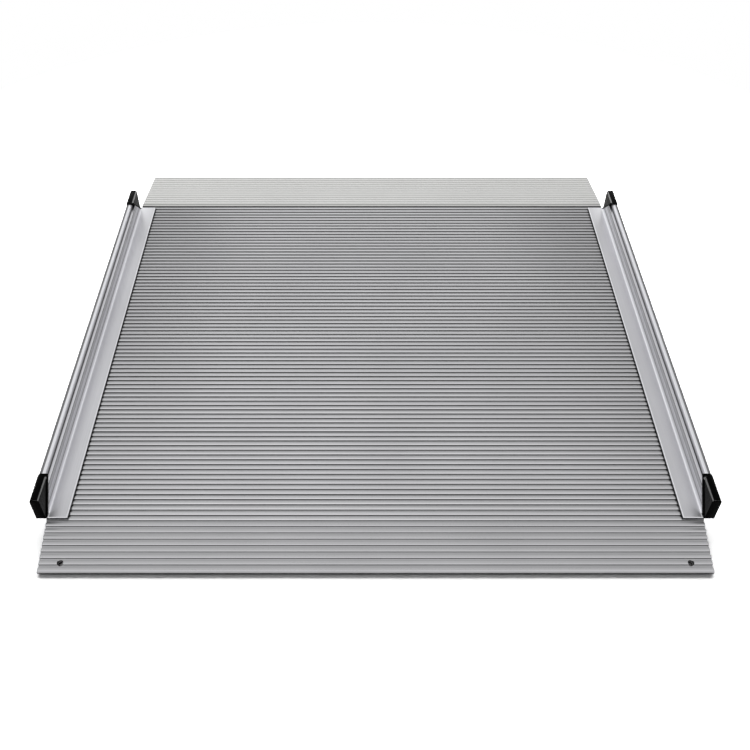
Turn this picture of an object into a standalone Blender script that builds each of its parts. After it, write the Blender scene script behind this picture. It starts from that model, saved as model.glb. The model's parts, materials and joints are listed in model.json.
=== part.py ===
"""Wheelchair ramp: a deck of ribbed aluminium planks between two kerb rails, with a fixed lip in front
and a hinged flap behind.

X runs across the ramp, Y from the lip to the flap and Z up. The origin is on the floor, midway across
and midway along. Sizes are in millimetres; meshes and places are turned into metres as they are made.
"""

import math

import bmesh
import bpy
from mathutils import Matrix, Vector

MM = 0.001

# Fits between pieces
GAP = 0.3
HINGE_CLEARANCE = 0.3

# Deck
CLEAR_WIDTH = 800.0
DECK_UNDER_KERB = 2.0
DECK_TOP = 22.0
DECK_UNDERSIDE = 3.0
PLANK_COUNT = 6
PLANK_RIBS = 13
RIB_PITCH = 8.0
RIB_DEPTH = 2.0
RIB_CHAMFER = 0.4
RIB_LEAN = 0.2
GROOVE_WIDTH = 1.4
TOP_WALL = 2.5
WALL = 2.2
WEB = 2.0

# Joint between planks
TONGUE_REACH = 5.0
TONGUE_THICKNESS = 4.0
TONGUE_HEIGHT = 11.5

# Screw ports in the ends of the planks
PORT_HEIGHT = 11.2
PORT_RADIUS = 2.3
PORT_BOSS_RADIUS = 4.2

# Slots for the rubber strips, and the strips
SLOT_MOUTH = 8.0
SLOT_WIDTH = 14.0
SLOT_LEDGE = 2.0
SLOT_DEPTH = 2.4
STRIP_WIDTH = 16.0
STRIP_END_INSET = 4.0
STRIPPED_PLANKS = (1, 3, 5)

# Front lip
LIP_LEVEL_RIBS = 5
LIP_SLOPING_RIBS = 8
NOSE_TOP = 5.5
NOSE_UNDERSIDE = 1.2
NOSE_ROUNDING = 0.8
NOSE_SLOT_INSET = 26.0
NOSE_FLAT = 36.0
NOSE_RISE = 6.0
LIP_PORT_INSET = 14.0
FIXING_SIDE_INSET = 26.0
FIXING_EDGE_INSET = 12.0
FIXING_HOLE_RADIUS = 2.6
COUNTERSINK_RADIUS = 3.6

# Rear flap and its hinge
LIFT_ANGLE = math.radians(30)
PIVOT_BEHIND_DECK = 1.0
PIVOT_HEIGHT = 12.0
BEAD_RADIUS = 4.0
BEAD_BORE_RADIUS = 1.8
SOCKET_WALL = 1.8
NECK = 2.6
FLAP_CORNER_BEHIND_PIVOT = 3.4
FLAP_TOP_AT_HINGE = 20.8
FLAP_PLAIN = 8.3
FLAP_RIBS = 13
FLAP_RIB_PITCH = 8.9
FLAP_TOE_LAND = 5.5
FLAP_RIB_DEPTH = 1.0
FLAP_GROOVE_WIDTH = 1.4
FLAP_WALL = 1.8
FLAP_BAYS = 3
TOE_TOP = 2.6
TOE_UNDERSIDE = 0.8
TOE_FLAT = 38.0
TOE_ROUNDING = 0.6
TOE_STRIP_WIDTH = 12.0
TOE_STRIP_INSET = 18.0
TOE_RECESS_DEPTH = 0.6

# Kerb rails
RAIL_BEHIND_BEND = 3.0
RAIL_BEFORE_DECK_END = 7.0
FLANGE_WIDTH = 25.0
FLANGE_THICKNESS = 3.3
FLANGE_EDGE = 0.9
KERB_WIDTH = 13.2
KERB_HEIGHT = 37.2
KERB_WALL = 2.2
KERB_FILLET = 1.8
LEDGE_HEIGHT = 30.0
LEDGE_WIDTH = 2.2
HEAD_INNER_ROUNDING = 3.6
HEAD_OUTER_ROUNDING = 4.6
LEG_THICKNESS = 2.5
LEG_FLOOR_GAP = 4.0
LEG_SETBACK = 10.0
LEG_STUB = 0.5

# End caps of the rails
CAP_SETBACK = 40.0
CAP_FOOT = 2.0
CAP_ROUNDING = 1.6
CAP_PROUD = 0.8
CAP_LIFT = 1.2
CAP_EDGE = 0.6
CAP_PLUG_REACH = 6.0
CAP_PLUG_START = 3.0

# Rail screws and hinge screws
SCREW_RADIUS = 2.0
SCREW_REACH = 16.0
SCREW_HEAD_RADIUS = 4.3
SCREW_HEAD_HEIGHT = 2.4
HINGE_SCREW_RADIUS = 1.5
HINGE_SCREW_REACH = 14.0
HINGE_SCREW_HEAD_RADIUS = 5.2
HINGE_SCREW_HEAD_HEIGHT = 2.2

# A screw head's flat crown and upright shoulder, as shares of its radius and its height
BUTTON_CROWN = 0.6
BUTTON_SHOULDER = 0.4

# How far a cut reaches past what it cuts
CUT_MARGIN = 5.0

# Facets
CORNER_STEPS = 3
PORT_STEPS = 10
CIRCLE_STEPS = 24
SCREW_STEPS = 10
SMOOTH_ANGLE = math.radians(35)
WELD_DISTANCE = 0.001

# Sizes that follow from those above
HALF_CLEAR = CLEAR_WIDTH / 2
HALF_DECK = HALF_CLEAR + DECK_UNDER_KERB
PLANK_LENGTH = PLANK_RIBS * RIB_PITCH
LIP_LEVEL = LIP_LEVEL_RIBS * RIB_PITCH
LIP_SLOPING = LIP_SLOPING_RIBS * RIB_PITCH
LIP_SLOPE = math.asin((DECK_TOP - NOSE_TOP) / LIP_SLOPING)
NOSE_REACH = LIP_SLOPING * math.cos(LIP_SLOPE)
DECK_LENGTH = LIP_LEVEL + PLANK_COUNT * PLANK_LENGTH
FLAP_LENGTH = FLAP_PLAIN + (FLAP_RIBS - 1) * FLAP_RIB_PITCH + FLAP_TOE_LAND
FLAP_SLOPE = math.asin((FLAP_TOP_AT_HINGE - TOE_TOP) / FLAP_LENGTH)
FLAP_REACH = FLAP_CORNER_BEHIND_PIVOT + FLAP_LENGTH * math.cos(FLAP_SLOPE)
OVERALL_LENGTH = NOSE_REACH + DECK_LENGTH + PIVOT_BEHIND_DECK + FLAP_REACH
BEND_Y = NOSE_REACH - OVERALL_LENGTH / 2
DECK_END_Y = BEND_Y + DECK_LENGTH
PIVOT_Y = DECK_END_Y + PIVOT_BEHIND_DECK
RAIL_FRONT_Y = BEND_Y + RAIL_BEHIND_BEND
RAIL_REAR_Y = DECK_END_Y - RAIL_BEFORE_DECK_END
RAIL_BASE = DECK_TOP + GAP
RAIL_TOP = DECK_TOP + KERB_HEIGHT
KERB_OUTER = HALF_CLEAR + KERB_WIDTH
LEG_INNER = HALF_DECK + GAP
LEG_OUTER = LEG_INNER + LEG_THICKNESS
BAY_FLOOR = DECK_UNDERSIDE + WALL
BAY_TOP = DECK_TOP - RIB_DEPTH - TOP_WALL
SOCKET_RADIUS = BEAD_RADIUS + HINGE_CLEARANCE
SOCKET_OUTER_RADIUS = SOCKET_RADIUS + SOCKET_WALL
FLAP_HOLLOW_RADIUS = SOCKET_OUTER_RADIUS + HINGE_CLEARANCE


def clear_scene():
    """Remove whatever the file opens with."""
    for scene_object in list(bpy.data.objects):
        bpy.data.objects.remove(scene_object)


def new_collection(name):
    """A collection linked to the scene."""
    collection = bpy.data.collections.new(name)
    bpy.context.scene.collection.children.link(collection)
    return collection


def new_material(name, colour, roughness, metallic):
    """A Principled material of one colour."""
    material = bpy.data.materials.new(name)
    material.use_nodes = True
    shader = material.node_tree.nodes["Principled BSDF"]
    shader.inputs["Base Color"].default_value = (*colour, 1.0)
    shader.inputs["Roughness"].default_value = roughness
    shader.inputs["Metallic"].default_value = metallic
    return material


def arc(centre, radius, start, end, steps):
    """Points of an arc about a centre, from one angle to another, both ends included."""
    points = []
    for step in range(steps + 1):
        angle = start + (end - start) * step / steps
        points.append((centre[0] + radius * math.cos(angle), centre[1] + radius * math.sin(angle)))
    return points


def circle(centre, radius, steps):
    """A closed ring of points."""
    return arc(centre, radius, 0, math.tau, steps)[:-1]


def rounded(corners):
    """A closed outline from (across, up, radius) corners, each turned into an arc of its radius."""
    points = []
    for number, (across, up, radius) in enumerate(corners):
        if radius == 0:
            points.append((across, up))
            continue
        corner = Vector((across, up))
        to_last = (Vector(corners[number - 1][:2]) - corner).normalized()
        to_next = (Vector(corners[(number + 1) % len(corners)][:2]) - corner).normalized()
        half_angle = to_last.angle(to_next) / 2
        centre = corner + (to_last + to_next).normalized() * radius / math.sin(half_angle)
        first = corner + to_last * radius / math.tan(half_angle) - centre
        last = corner + to_next * radius / math.tan(half_angle) - centre
        start = math.atan2(first.y, first.x)
        turn = (math.atan2(last.y, last.x) - start + math.pi) % math.tau - math.pi
        points += arc(centre, radius, start, start + turn, CORNER_STEPS)
    return points


def section_mesh(name, outlines, length):
    """Mesh of an extruded section: the first outline is its outside and the others its hollows."""
    curve = bpy.data.curves.new(name, "CURVE")
    curve.dimensions = "2D"
    curve.fill_mode = "BOTH"
    curve.extrude = length / 2
    for outline in outlines:
        spline = curve.splines.new("POLY")
        spline.points.add(len(outline) - 1)
        for point, (across, up) in zip(spline.points, outline):
            point.co = (across, up, 0, 1)
        spline.use_cyclic_u = True
    outline_object = bpy.data.objects.new(name, curve)
    bpy.context.scene.collection.objects.link(outline_object)
    evaluated = outline_object.evaluated_get(bpy.context.evaluated_depsgraph_get())
    mesh = bpy.data.meshes.new_from_object(evaluated)
    bpy.data.objects.remove(outline_object)
    bpy.data.curves.remove(curve)
    section = bmesh.new()
    section.from_mesh(mesh)
    bmesh.ops.remove_doubles(section, verts=section.verts, dist=WELD_DISTANCE)
    bmesh.ops.recalc_face_normals(section, faces=section.faces)
    ends = [face for face in section.faces if len({round(vert.co.z) for vert in face.verts}) == 1]
    inner_edges = [edge for edge in section.edges if all(face in ends for face in edge.link_faces)]
    bmesh.ops.beautify_fill(section, faces=ends, edges=inner_edges)
    section.to_mesh(mesh)
    section.free()
    mesh.name = name
    mesh.transform(Matrix.Scale(MM, 4))
    mesh.shade_smooth()
    mesh.set_sharp_from_angle(angle=SMOOTH_ANGLE)
    return mesh


def place(name, mesh, material, collection, location, rotation):
    """An object in a collection, with its location in millimetres."""
    new_object = bpy.data.objects.new(name, mesh)
    new_object.location = Vector(location) * MM
    new_object.rotation_euler = rotation
    if material is not None and not mesh.materials:
        mesh.materials.append(material)
    collection.objects.link(new_object)
    return new_object


def across_ramp(name, mesh, material, collection, y, z, x=0.0):
    """Place a section whose own X is the ramp's Y, whose own Y is up and whose length runs across."""
    return place(name, mesh, material, collection, (x, y, z), (math.pi / 2, 0, math.pi / 2))


def along_ramp(name, mesh, material, collection, y):
    """Place a section whose own X is the ramp's X, whose own Y is up and whose length runs along."""
    return place(name, mesh, material, collection, (0, y, 0), (math.pi / 2, 0, 0))


def turned_mesh(name, profile):
    """The edge that a turned piece is spun from: (radius, height) points from its top to its bottom."""
    mesh = bpy.data.meshes.new(name)
    points = [(radius * MM, 0, height * MM) for radius, height in profile]
    mesh.from_pydata(points, [(first, first + 1) for first in range(len(points) - 1)], [])
    return mesh


def spin(turned_object):
    """Turn a profile about its own Z axis."""
    modifier = turned_object.modifiers.new("turn", "SCREW")
    modifier.steps = SCREW_STEPS
    modifier.render_steps = SCREW_STEPS
    modifier.use_merge_vertices = True
    modifier.merge_threshold = WELD_DISTANCE * MM
    modifier.use_smooth_shade = True


def combine(solid, cutter, operation):
    """Cut a solid with another one, or join it to it."""
    modifier = solid.modifiers.new(cutter.name, "BOOLEAN")
    modifier.operation = operation
    modifier.object = cutter
    cutter.hide_render = True
    cutter.display_type = "WIRE"


def ribs(count, pitch, depth, groove):
    """A run of ribs as (along, height) points, with the lands at height 0."""
    points = []
    for number in range(count):
        front = number * pitch + groove / 2
        rear = (number + 1) * pitch - groove / 2
        points += [
            (front, -depth),
            (front + RIB_LEAN, -RIB_CHAMFER),
            (front + RIB_LEAN + RIB_CHAMFER, 0),
            (rear - RIB_LEAN - RIB_CHAMFER, 0),
            (rear - RIB_LEAN, -RIB_CHAMFER),
            (rear, -depth),
        ]
    return points


def level_ribs(count):
    """The ribbed top of a level piece, from its front seam or bend backwards."""
    return [(along, DECK_TOP + height) for along, height in ribs(count, RIB_PITCH, RIB_DEPTH, GROOVE_WIDTH)]


def tongue_end(seam):
    """The rear end of a plank, from its top down: a face with a tongue."""
    face = seam - GAP / 2
    high = TONGUE_HEIGHT + TONGUE_THICKNESS / 2
    low = TONGUE_HEIGHT - TONGUE_THICKNESS / 2
    return [
        (face, DECK_TOP - RIB_DEPTH),
        (face, high),
        (seam + TONGUE_REACH, high),
        (seam + TONGUE_REACH, low),
        (face, low),
        (face, DECK_UNDERSIDE),
    ]


def recess_end():
    """The front end of a plank, from its underside up: a face with a recess for the next tongue."""
    face = GAP / 2
    high = TONGUE_HEIGHT + TONGUE_THICKNESS / 2 + GAP
    low = TONGUE_HEIGHT - TONGUE_THICKNESS / 2 - GAP
    depth = TONGUE_REACH + GAP
    return [
        (face, DECK_UNDERSIDE),
        (face, low),
        (depth, low),
        (depth, high),
        (face, high),
        (face, DECK_TOP - RIB_DEPTH),
    ]


def strip_slot(centre, underside):
    """A slot for a rubber strip in an underside, from its rear edge to its front one."""
    ledge = underside + SLOT_LEDGE
    ceiling = ledge + SLOT_DEPTH
    return [
        (centre + SLOT_MOUTH / 2, underside),
        (centre + SLOT_MOUTH / 2, ledge),
        (centre + SLOT_WIDTH / 2, ledge),
        (centre + SLOT_WIDTH / 2, ceiling),
        (centre - SLOT_WIDTH / 2, ceiling),
        (centre - SLOT_WIDTH / 2, ledge),
        (centre - SLOT_MOUTH / 2, ledge),
        (centre - SLOT_MOUTH / 2, underside),
    ]


def boss_side(web, side):
    """The bulge of a screw port's boss into the bay in front of its web (-1) or behind it (1)."""
    half_angle = math.acos(WEB / 2 / PORT_BOSS_RADIUS)
    middle = 0 if side > 0 else math.pi
    start = middle - side * half_angle
    end = middle + side * half_angle
    return arc((web, PORT_HEIGHT), PORT_BOSS_RADIUS, start, end, PORT_STEPS // 2)


def bay(floor, port_in_front=None, port_behind=None):
    """A hollow under a level top: its floor from front to rear, and the ports on the webs beside it."""
    outline = list(floor)
    if port_behind is not None:
        outline += boss_side(port_behind, -1)
    outline += [(floor[-1][0], BAY_TOP), (floor[0][0], BAY_TOP)]
    if port_in_front is not None:
        outline += reversed(boss_side(port_in_front, 1))
    return outline


def plank_ports():
    """Where a plank's two screw ports lie along it: on the first and the last of its three webs."""
    return (PLANK_LENGTH / 4, PLANK_LENGTH * 3 / 4)


def plank_hollows(last_bay_end):
    """The four bays and the two screw ports of a plank. The middle bays step over the strip's slot."""
    front_port, rear_port = plank_ports()
    middle = PLANK_LENGTH / 2
    block_half = SLOT_WIDTH / 2 + WALL
    block_top = DECK_UNDERSIDE + SLOT_LEDGE + SLOT_DEPTH + WALL
    first_bay_start = TONGUE_REACH + GAP + WALL
    return [
        bay(
            [(first_bay_start, BAY_FLOOR), (front_port - WEB / 2, BAY_FLOOR)],
            port_behind=front_port,
        ),
        bay(
            [
                (front_port + WEB / 2, BAY_FLOOR),
                (middle - block_half, BAY_FLOOR),
                (middle - block_half, block_top),
                (middle - WEB / 2, block_top),
            ],
            port_in_front=front_port,
        ),
        bay(
            [
                (middle + WEB / 2, block_top),
                (middle + block_half, block_top),
                (middle + block_half, BAY_FLOOR),
                (rear_port - WEB / 2, BAY_FLOOR),
            ],
            port_behind=rear_port,
        ),
        bay(
            [(rear_port + WEB / 2, BAY_FLOOR), (last_bay_end, BAY_FLOOR)],
            port_in_front=rear_port,
        ),
        circle((front_port, PORT_HEIGHT), PORT_RADIUS, PORT_STEPS),
        circle((rear_port, PORT_HEIGHT), PORT_RADIUS, PORT_STEPS),
    ]


def plank_section():
    """A plank: ribs, tongue, slotted underside and recess, round its bays and ports."""
    outside = level_ribs(PLANK_RIBS)
    outside += tongue_end(PLANK_LENGTH)
    outside += strip_slot(PLANK_LENGTH / 2, DECK_UNDERSIDE)
    outside += recess_end()
    return [outside] + plank_hollows(PLANK_LENGTH - GAP / 2 - WALL)


def neck_angle(radius):
    """Half the angle that the flap's neck covers on a circle about the pivot."""
    return math.asin(NECK / 2 / radius)


def lip_angle(radius):
    """How far from the neck's middle line a lip of the socket ends, on a circle about the pivot."""
    return math.asin((NECK / 2 + HINGE_CLEARANCE) / radius)


def hinge_plank_section():
    """The rearmost plank: like the others, but with the hinge socket in place of the tongue.

    The socket's lips stop the flap's neck: the lower one at rest and the upper one when it is lifted.
    """
    pivot = (PLANK_LENGTH + PIVOT_BEHIND_DECK, PIVOT_HEIGHT)
    outside = level_ribs(PLANK_RIBS)[:-1]
    rear_face = outside[-1][0]
    face_angle = math.acos((rear_face - pivot[0]) / SOCKET_OUTER_RADIUS)
    lifted = LIFT_ANGLE - FLAP_SLOPE
    lower = math.tau - FLAP_SLOPE
    outside += arc(
        pivot, SOCKET_OUTER_RADIUS, face_angle, lifted + lip_angle(SOCKET_OUTER_RADIUS), CIRCLE_STEPS // 4
    )
    outside += arc(
        pivot, SOCKET_RADIUS, lifted + lip_angle(SOCKET_RADIUS), lower - lip_angle(SOCKET_RADIUS), CIRCLE_STEPS
    )
    outside += arc(
        pivot, SOCKET_OUTER_RADIUS, lower - lip_angle(SOCKET_OUTER_RADIUS), math.pi * 3 / 2, CIRCLE_STEPS // 4
    )
    outside.append((pivot[0] - SOCKET_OUTER_RADIUS, DECK_UNDERSIDE))
    outside += strip_slot(PLANK_LENGTH / 2, DECK_UNDERSIDE)
    outside += recess_end()
    return [outside] + plank_hollows(pivot[0] - SOCKET_OUTER_RADIUS - WALL)


def slope_point(along, height):
    """A point of the lip's slope, from its distance down the slope and its height over the lands."""
    return (
        -along * math.cos(LIP_SLOPE) - height * math.sin(LIP_SLOPE),
        DECK_TOP - along * math.sin(LIP_SLOPE) + height * math.cos(LIP_SLOPE),
    )


def lip_section():
    """The front lip, with its bend at 0: a level hollow part and a sloping one that ends in a solid nose."""
    slope = [slope_point(*point) for point in ribs(LIP_SLOPING_RIBS, RIB_PITCH, RIB_DEPTH, GROOVE_WIDTH)]
    front = -NOSE_REACH
    nose = rounded([
        (*slope[-4], 0),
        (front, NOSE_TOP, NOSE_ROUNDING),
        (front, NOSE_UNDERSIDE, NOSE_ROUNDING),
        (front + NOSE_FLAT, NOSE_UNDERSIDE, 0),
    ])
    outside = level_ribs(LIP_LEVEL_RIBS)
    outside += tongue_end(LIP_LEVEL)
    outside.append((front + NOSE_FLAT + NOSE_RISE, DECK_UNDERSIDE))
    outside.append((front + NOSE_FLAT, NOSE_UNDERSIDE))
    outside += strip_slot(front + NOSE_SLOT_INSET, NOSE_UNDERSIDE)
    outside += reversed(nose[1:-1])
    outside += reversed(slope[:-3])

    port = LIP_LEVEL - LIP_PORT_INSET
    low_bay_front = front + NOSE_FLAT
    low_bay_top = DECK_TOP - RIB_DEPTH - TOP_WALL
    slope_bay = [
        (low_bay_front, BAY_FLOOR),
        (-WEB * 3 / 2, BAY_FLOOR),
        (-WEB * 3 / 2, low_bay_top - WEB * 3 / 2 * math.tan(LIP_SLOPE)),
        (low_bay_front, low_bay_top + low_bay_front * math.tan(LIP_SLOPE)),
    ]
    return [
        outside,
        slope_bay,
        bay([(-WEB / 2, BAY_FLOOR), (port - WEB / 2, BAY_FLOOR)], port_behind=port),
        bay([(port + WEB / 2, BAY_FLOOR), (LIP_LEVEL - GAP / 2 - WALL, BAY_FLOOR)], port_in_front=port),
        circle((port, PORT_HEIGHT), PORT_RADIUS, PORT_STEPS),
    ]


def flap_point(along, height):
    """A point of the flap about its pivot, from its distance down the top face and its height over it."""
    return (
        FLAP_CORNER_BEHIND_PIVOT + along * math.cos(FLAP_SLOPE) + height * math.sin(FLAP_SLOPE),
        FLAP_TOP_AT_HINGE - PIVOT_HEIGHT - along * math.sin(FLAP_SLOPE) + height * math.cos(FLAP_SLOPE),
    )


def height_on_line(first, last, across):
    """The height of a line through two points, at a place across."""
    return first[1] + (last[1] - first[1]) * (across - first[0]) / (last[0] - first[0])


def flap_section():
    """The flap about its pivot: bead, neck, hollow body, flat toe and ribbed top."""
    lands = ribs(FLAP_RIBS, FLAP_RIB_PITCH, FLAP_RIB_DEPTH, FLAP_GROOVE_WIDTH)
    top = [flap_point(FLAP_PLAIN + along, height) for along, height in lands]
    corner = flap_point(0, 0)
    corner_angle = math.atan2(corner[1], corner[0])
    underside = TOE_UNDERSIDE - PIVOT_HEIGHT
    toe_flat_start = FLAP_REACH - TOE_FLAT
    recess_rear = FLAP_REACH - TOE_STRIP_INSET + GAP
    recess_front = FLAP_REACH - TOE_STRIP_INSET - TOE_STRIP_WIDTH - GAP
    neck_end = FLAP_HOLLOW_RADIUS + SOCKET_WALL
    neck_low = (
        neck_end * math.cos(FLAP_SLOPE) - NECK / 2 * math.sin(FLAP_SLOPE),
        -neck_end * math.sin(FLAP_SLOPE) - NECK / 2 * math.cos(FLAP_SLOPE),
    )
    bead_half = neck_angle(BEAD_RADIUS)
    outside = arc(
        (0, 0), BEAD_RADIUS, bead_half - FLAP_SLOPE, math.tau - bead_half - FLAP_SLOPE, CIRCLE_STEPS
    )
    outside.append(neck_low)
    outside.append((toe_flat_start, underside))
    outside += [
        (recess_front, underside),
        (recess_front, underside + TOE_RECESS_DEPTH),
        (recess_rear, underside + TOE_RECESS_DEPTH),
        (recess_rear, underside),
    ]
    toe = rounded([
        (recess_rear, underside, 0),
        (FLAP_REACH, underside, TOE_ROUNDING),
        (FLAP_REACH, TOE_TOP - PIVOT_HEIGHT, TOE_ROUNDING),
        (*top[-4], 0),
    ])
    outside += toe[1:-1]
    outside += reversed(top[:-3])
    outside.append(corner)
    outside += arc(
        (0, 0), FLAP_HOLLOW_RADIUS, corner_angle, neck_angle(FLAP_HOLLOW_RADIUS) - FLAP_SLOPE, CIRCLE_STEPS // 4
    )

    ceiling = (flap_point(0, -FLAP_RIB_DEPTH - FLAP_WALL), flap_point(FLAP_LENGTH, -FLAP_RIB_DEPTH - FLAP_WALL))
    floor = ((neck_low[0], neck_low[1] + FLAP_WALL), (toe_flat_start, underside + FLAP_WALL))
    hollow_start = neck_end + FLAP_WALL
    bay_length = (toe_flat_start - hollow_start) / FLAP_BAYS
    hollows = [circle((0, 0), BEAD_BORE_RADIUS, PORT_STEPS)]
    for number in range(FLAP_BAYS):
        front = hollow_start + number * bay_length
        rear = front + bay_length - FLAP_WALL
        hollows.append([
            (front, height_on_line(*floor, front)),
            (rear, height_on_line(*floor, rear)),
            (rear, height_on_line(*ceiling, rear)),
            (front, height_on_line(*ceiling, front)),
        ])
    return [outside] + hollows


def strip_section(clearance_below):
    """A rubber strip about its slot's centre and the underside that it hangs from."""
    foot = STRIP_WIDTH / 2
    neck = SLOT_MOUTH / 2 - GAP
    head = SLOT_WIDTH / 2 - GAP
    head_low = SLOT_LEDGE + GAP
    head_high = SLOT_LEDGE + SLOT_DEPTH - GAP
    return [[
        (-foot, -clearance_below),
        (foot, -clearance_below),
        (foot, -GAP),
        (neck, -GAP),
        (neck, head_low),
        (head, head_low),
        (head, head_high),
        (-head, head_high),
        (-head, head_low),
        (-neck, head_low),
        (-neck, -GAP),
        (-foot, -GAP),
    ]]


def mirrored(outline, side):
    """An outline drawn for the right-hand side, as it lies on either side."""
    return [(across * side, up) for across, up in outline]


def rail_section(side):
    """A kerb rail: flange on the ribs, hollow kerb with a ledge and a rounded head, leg beside the deck."""
    flange_top = RAIL_BASE + FLANGE_THICKNESS
    ledge = DECK_TOP + LEDGE_HEIGHT
    head_inner = HALF_CLEAR + LEDGE_WIDTH
    outside = rounded([
        (HALF_CLEAR - FLANGE_WIDTH, RAIL_BASE, 0),
        (HALF_CLEAR - FLANGE_WIDTH, flange_top, FLANGE_EDGE),
        (HALF_CLEAR, flange_top, KERB_FILLET),
        (HALF_CLEAR, ledge, FLANGE_EDGE / 2),
        (head_inner, ledge, 0),
        (head_inner, RAIL_TOP, HEAD_INNER_ROUNDING),
        (KERB_OUTER, RAIL_TOP, HEAD_OUTER_ROUNDING),
        (KERB_OUTER, RAIL_BASE, FLANGE_EDGE),
        (LEG_OUTER, RAIL_BASE, 0),
        (LEG_OUTER, LEG_FLOOR_GAP, FLANGE_EDGE / 2),
        (LEG_INNER, LEG_FLOOR_GAP, FLANGE_EDGE / 2),
        (LEG_INNER, RAIL_BASE, 0),
    ])
    hollow = [
        (HALF_CLEAR + KERB_WALL, RAIL_BASE + KERB_WALL),
        (KERB_OUTER - KERB_WALL, RAIL_BASE + KERB_WALL),
        (KERB_OUTER - KERB_WALL, RAIL_TOP - HEAD_OUTER_ROUNDING),
        (KERB_OUTER - HEAD_OUTER_ROUNDING, RAIL_TOP - KERB_WALL),
        (head_inner + KERB_WALL, RAIL_TOP - KERB_WALL),
        (head_inner + KERB_WALL, ledge - KERB_WALL),
        (HALF_CLEAR + KERB_WALL, ledge - KERB_WALL),
    ]
    return [mirrored(outside, side), mirrored(hollow, side)]


def slant_shift():
    """How far the rail's slanted cut lies behind the cap's slanted face, measured along the ramp."""
    rise = RAIL_TOP - RAIL_BASE
    run = CAP_SETBACK - CAP_FOOT
    return GAP * math.hypot(rise, run) / rise


def slant_reach(height):
    """How far the cap's slanted face lies from the rail's end at a height."""
    return CAP_FOOT + (CAP_SETBACK - CAP_FOOT) * (height - RAIL_BASE) / (RAIL_TOP - RAIL_BASE)


def kerb_cut_outline():
    """What is cut from a rail's end across its kerb and leg, from the rail's end inwards."""
    over = RAIL_TOP + CUT_MARGIN
    stub = RAIL_BASE - LEG_STUB
    return [
        (-CUT_MARGIN, -CUT_MARGIN),
        (LEG_SETBACK, -CUT_MARGIN),
        (LEG_SETBACK, stub),
        (slant_reach(stub) + slant_shift(), stub),
        (slant_reach(over) + slant_shift(), over),
        (-CUT_MARGIN, over),
    ]


def fillet_cut_outline():
    """The cut beside it, over the flange, which clears the fillet and the kerb's inner face.

    Its slanted face lies half a gap in front of the other cut's, so that no two faces share a plane.
    """
    over = RAIL_TOP + CUT_MARGIN
    floor = RAIL_BASE + FLANGE_THICKNESS + GAP / 2
    shift = slant_shift() - GAP / 2
    return [
        (-CUT_MARGIN, floor),
        (slant_reach(floor) + shift, floor),
        (slant_reach(over) + shift, over),
        (-CUT_MARGIN, over),
    ]


def cap_cut_outline():
    """What is cut from a cap's block behind its slanted face."""
    under = RAIL_BASE - CUT_MARGIN
    over = RAIL_TOP + CUT_MARGIN
    behind = slant_reach(over) + CUT_MARGIN
    return [
        (slant_reach(under), under),
        (behind, under),
        (behind, over),
        (slant_reach(over), over),
    ]


def screw_places():
    """Where the rail screws lie along the ramp: one in the lip and two in each plank."""
    places = [BEND_Y + LIP_LEVEL - LIP_PORT_INSET]
    for number in range(PLANK_COUNT):
        seam = BEND_Y + LIP_LEVEL + number * PLANK_LENGTH
        places += [seam + port for port in plank_ports()]
    return places


def button_screw_profile(shank, reach, head, head_height):
    """A low round-headed screw: its head's seat is at height 0 and its shank hangs below."""
    crown = head * BUTTON_CROWN
    shoulder = head_height * BUTTON_SHOULDER
    return [
        (0, head_height),
        (crown, head_height),
        (head, shoulder),
        (head, 0),
        (shank, 0),
        (shank, -reach),
        (0, -reach),
    ]


def add_deck(parts, aluminium):
    """The planks, from front to rear, the last of them carrying the hinge socket."""
    plank_mesh = section_mesh("deck_plank", plank_section(), 2 * HALF_DECK)
    for number in range(1, PLANK_COUNT):
        seam = BEND_Y + LIP_LEVEL + (number - 1) * PLANK_LENGTH
        across_ramp(f"deck_plank_{number}", plank_mesh, aluminium, parts, seam, 0)
    hinge_mesh = section_mesh("hinge_plank", hinge_plank_section(), 2 * HALF_DECK)
    across_ramp("hinge_plank", hinge_mesh, aluminium, parts, DECK_END_Y - PLANK_LENGTH, 0)


def add_lip(parts, cutters, aluminium):
    """The front lip and its two countersunk fixing holes, drilled square to the slope."""
    lip_mesh = section_mesh("front_lip", lip_section(), 2 * HALF_DECK)
    lip = across_ramp("front_lip", lip_mesh, aluminium, parts, BEND_Y, 0)
    sink_depth = COUNTERSINK_RADIUS - FIXING_HOLE_RADIUS
    profile = [
        (0, CUT_MARGIN),
        (COUNTERSINK_RADIUS + CUT_MARGIN, CUT_MARGIN),
        (FIXING_HOLE_RADIUS, -sink_depth),
        (FIXING_HOLE_RADIUS, -DECK_TOP),
        (0, -DECK_TOP),
    ]
    hole_mesh = turned_mesh("fixing_hole", profile)
    along, height = slope_point(LIP_SLOPING - FIXING_EDGE_INSET, 0)
    for side, hand in ((-1, "left"), (1, "right")):
        location = (side * (HALF_DECK - FIXING_SIDE_INSET), BEND_Y + along, height)
        cutter = place(f"fixing_hole_{hand}", hole_mesh, None, cutters, location, (LIP_SLOPE, 0, 0))
        spin(cutter)
        combine(lip, cutter, "DIFFERENCE")


def add_strips(parts, rubber):
    """The rubber strips that the planks and the lip stand on."""
    length = 2 * (HALF_DECK - STRIP_END_INSET)
    deck_mesh = section_mesh("deck_strip", strip_section(DECK_UNDERSIDE), length)
    for order, plank in enumerate(STRIPPED_PLANKS, start=1):
        centre = BEND_Y + LIP_LEVEL + (plank - 0.5) * PLANK_LENGTH
        across_ramp(f"deck_strip_{order}", deck_mesh, rubber, parts, centre, DECK_UNDERSIDE)
    nose_mesh = section_mesh("nose_strip", strip_section(NOSE_UNDERSIDE), length)
    centre = BEND_Y - NOSE_REACH + NOSE_SLOT_INSET
    across_ramp("nose_strip", nose_mesh, rubber, parts, centre, NOSE_UNDERSIDE)


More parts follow.
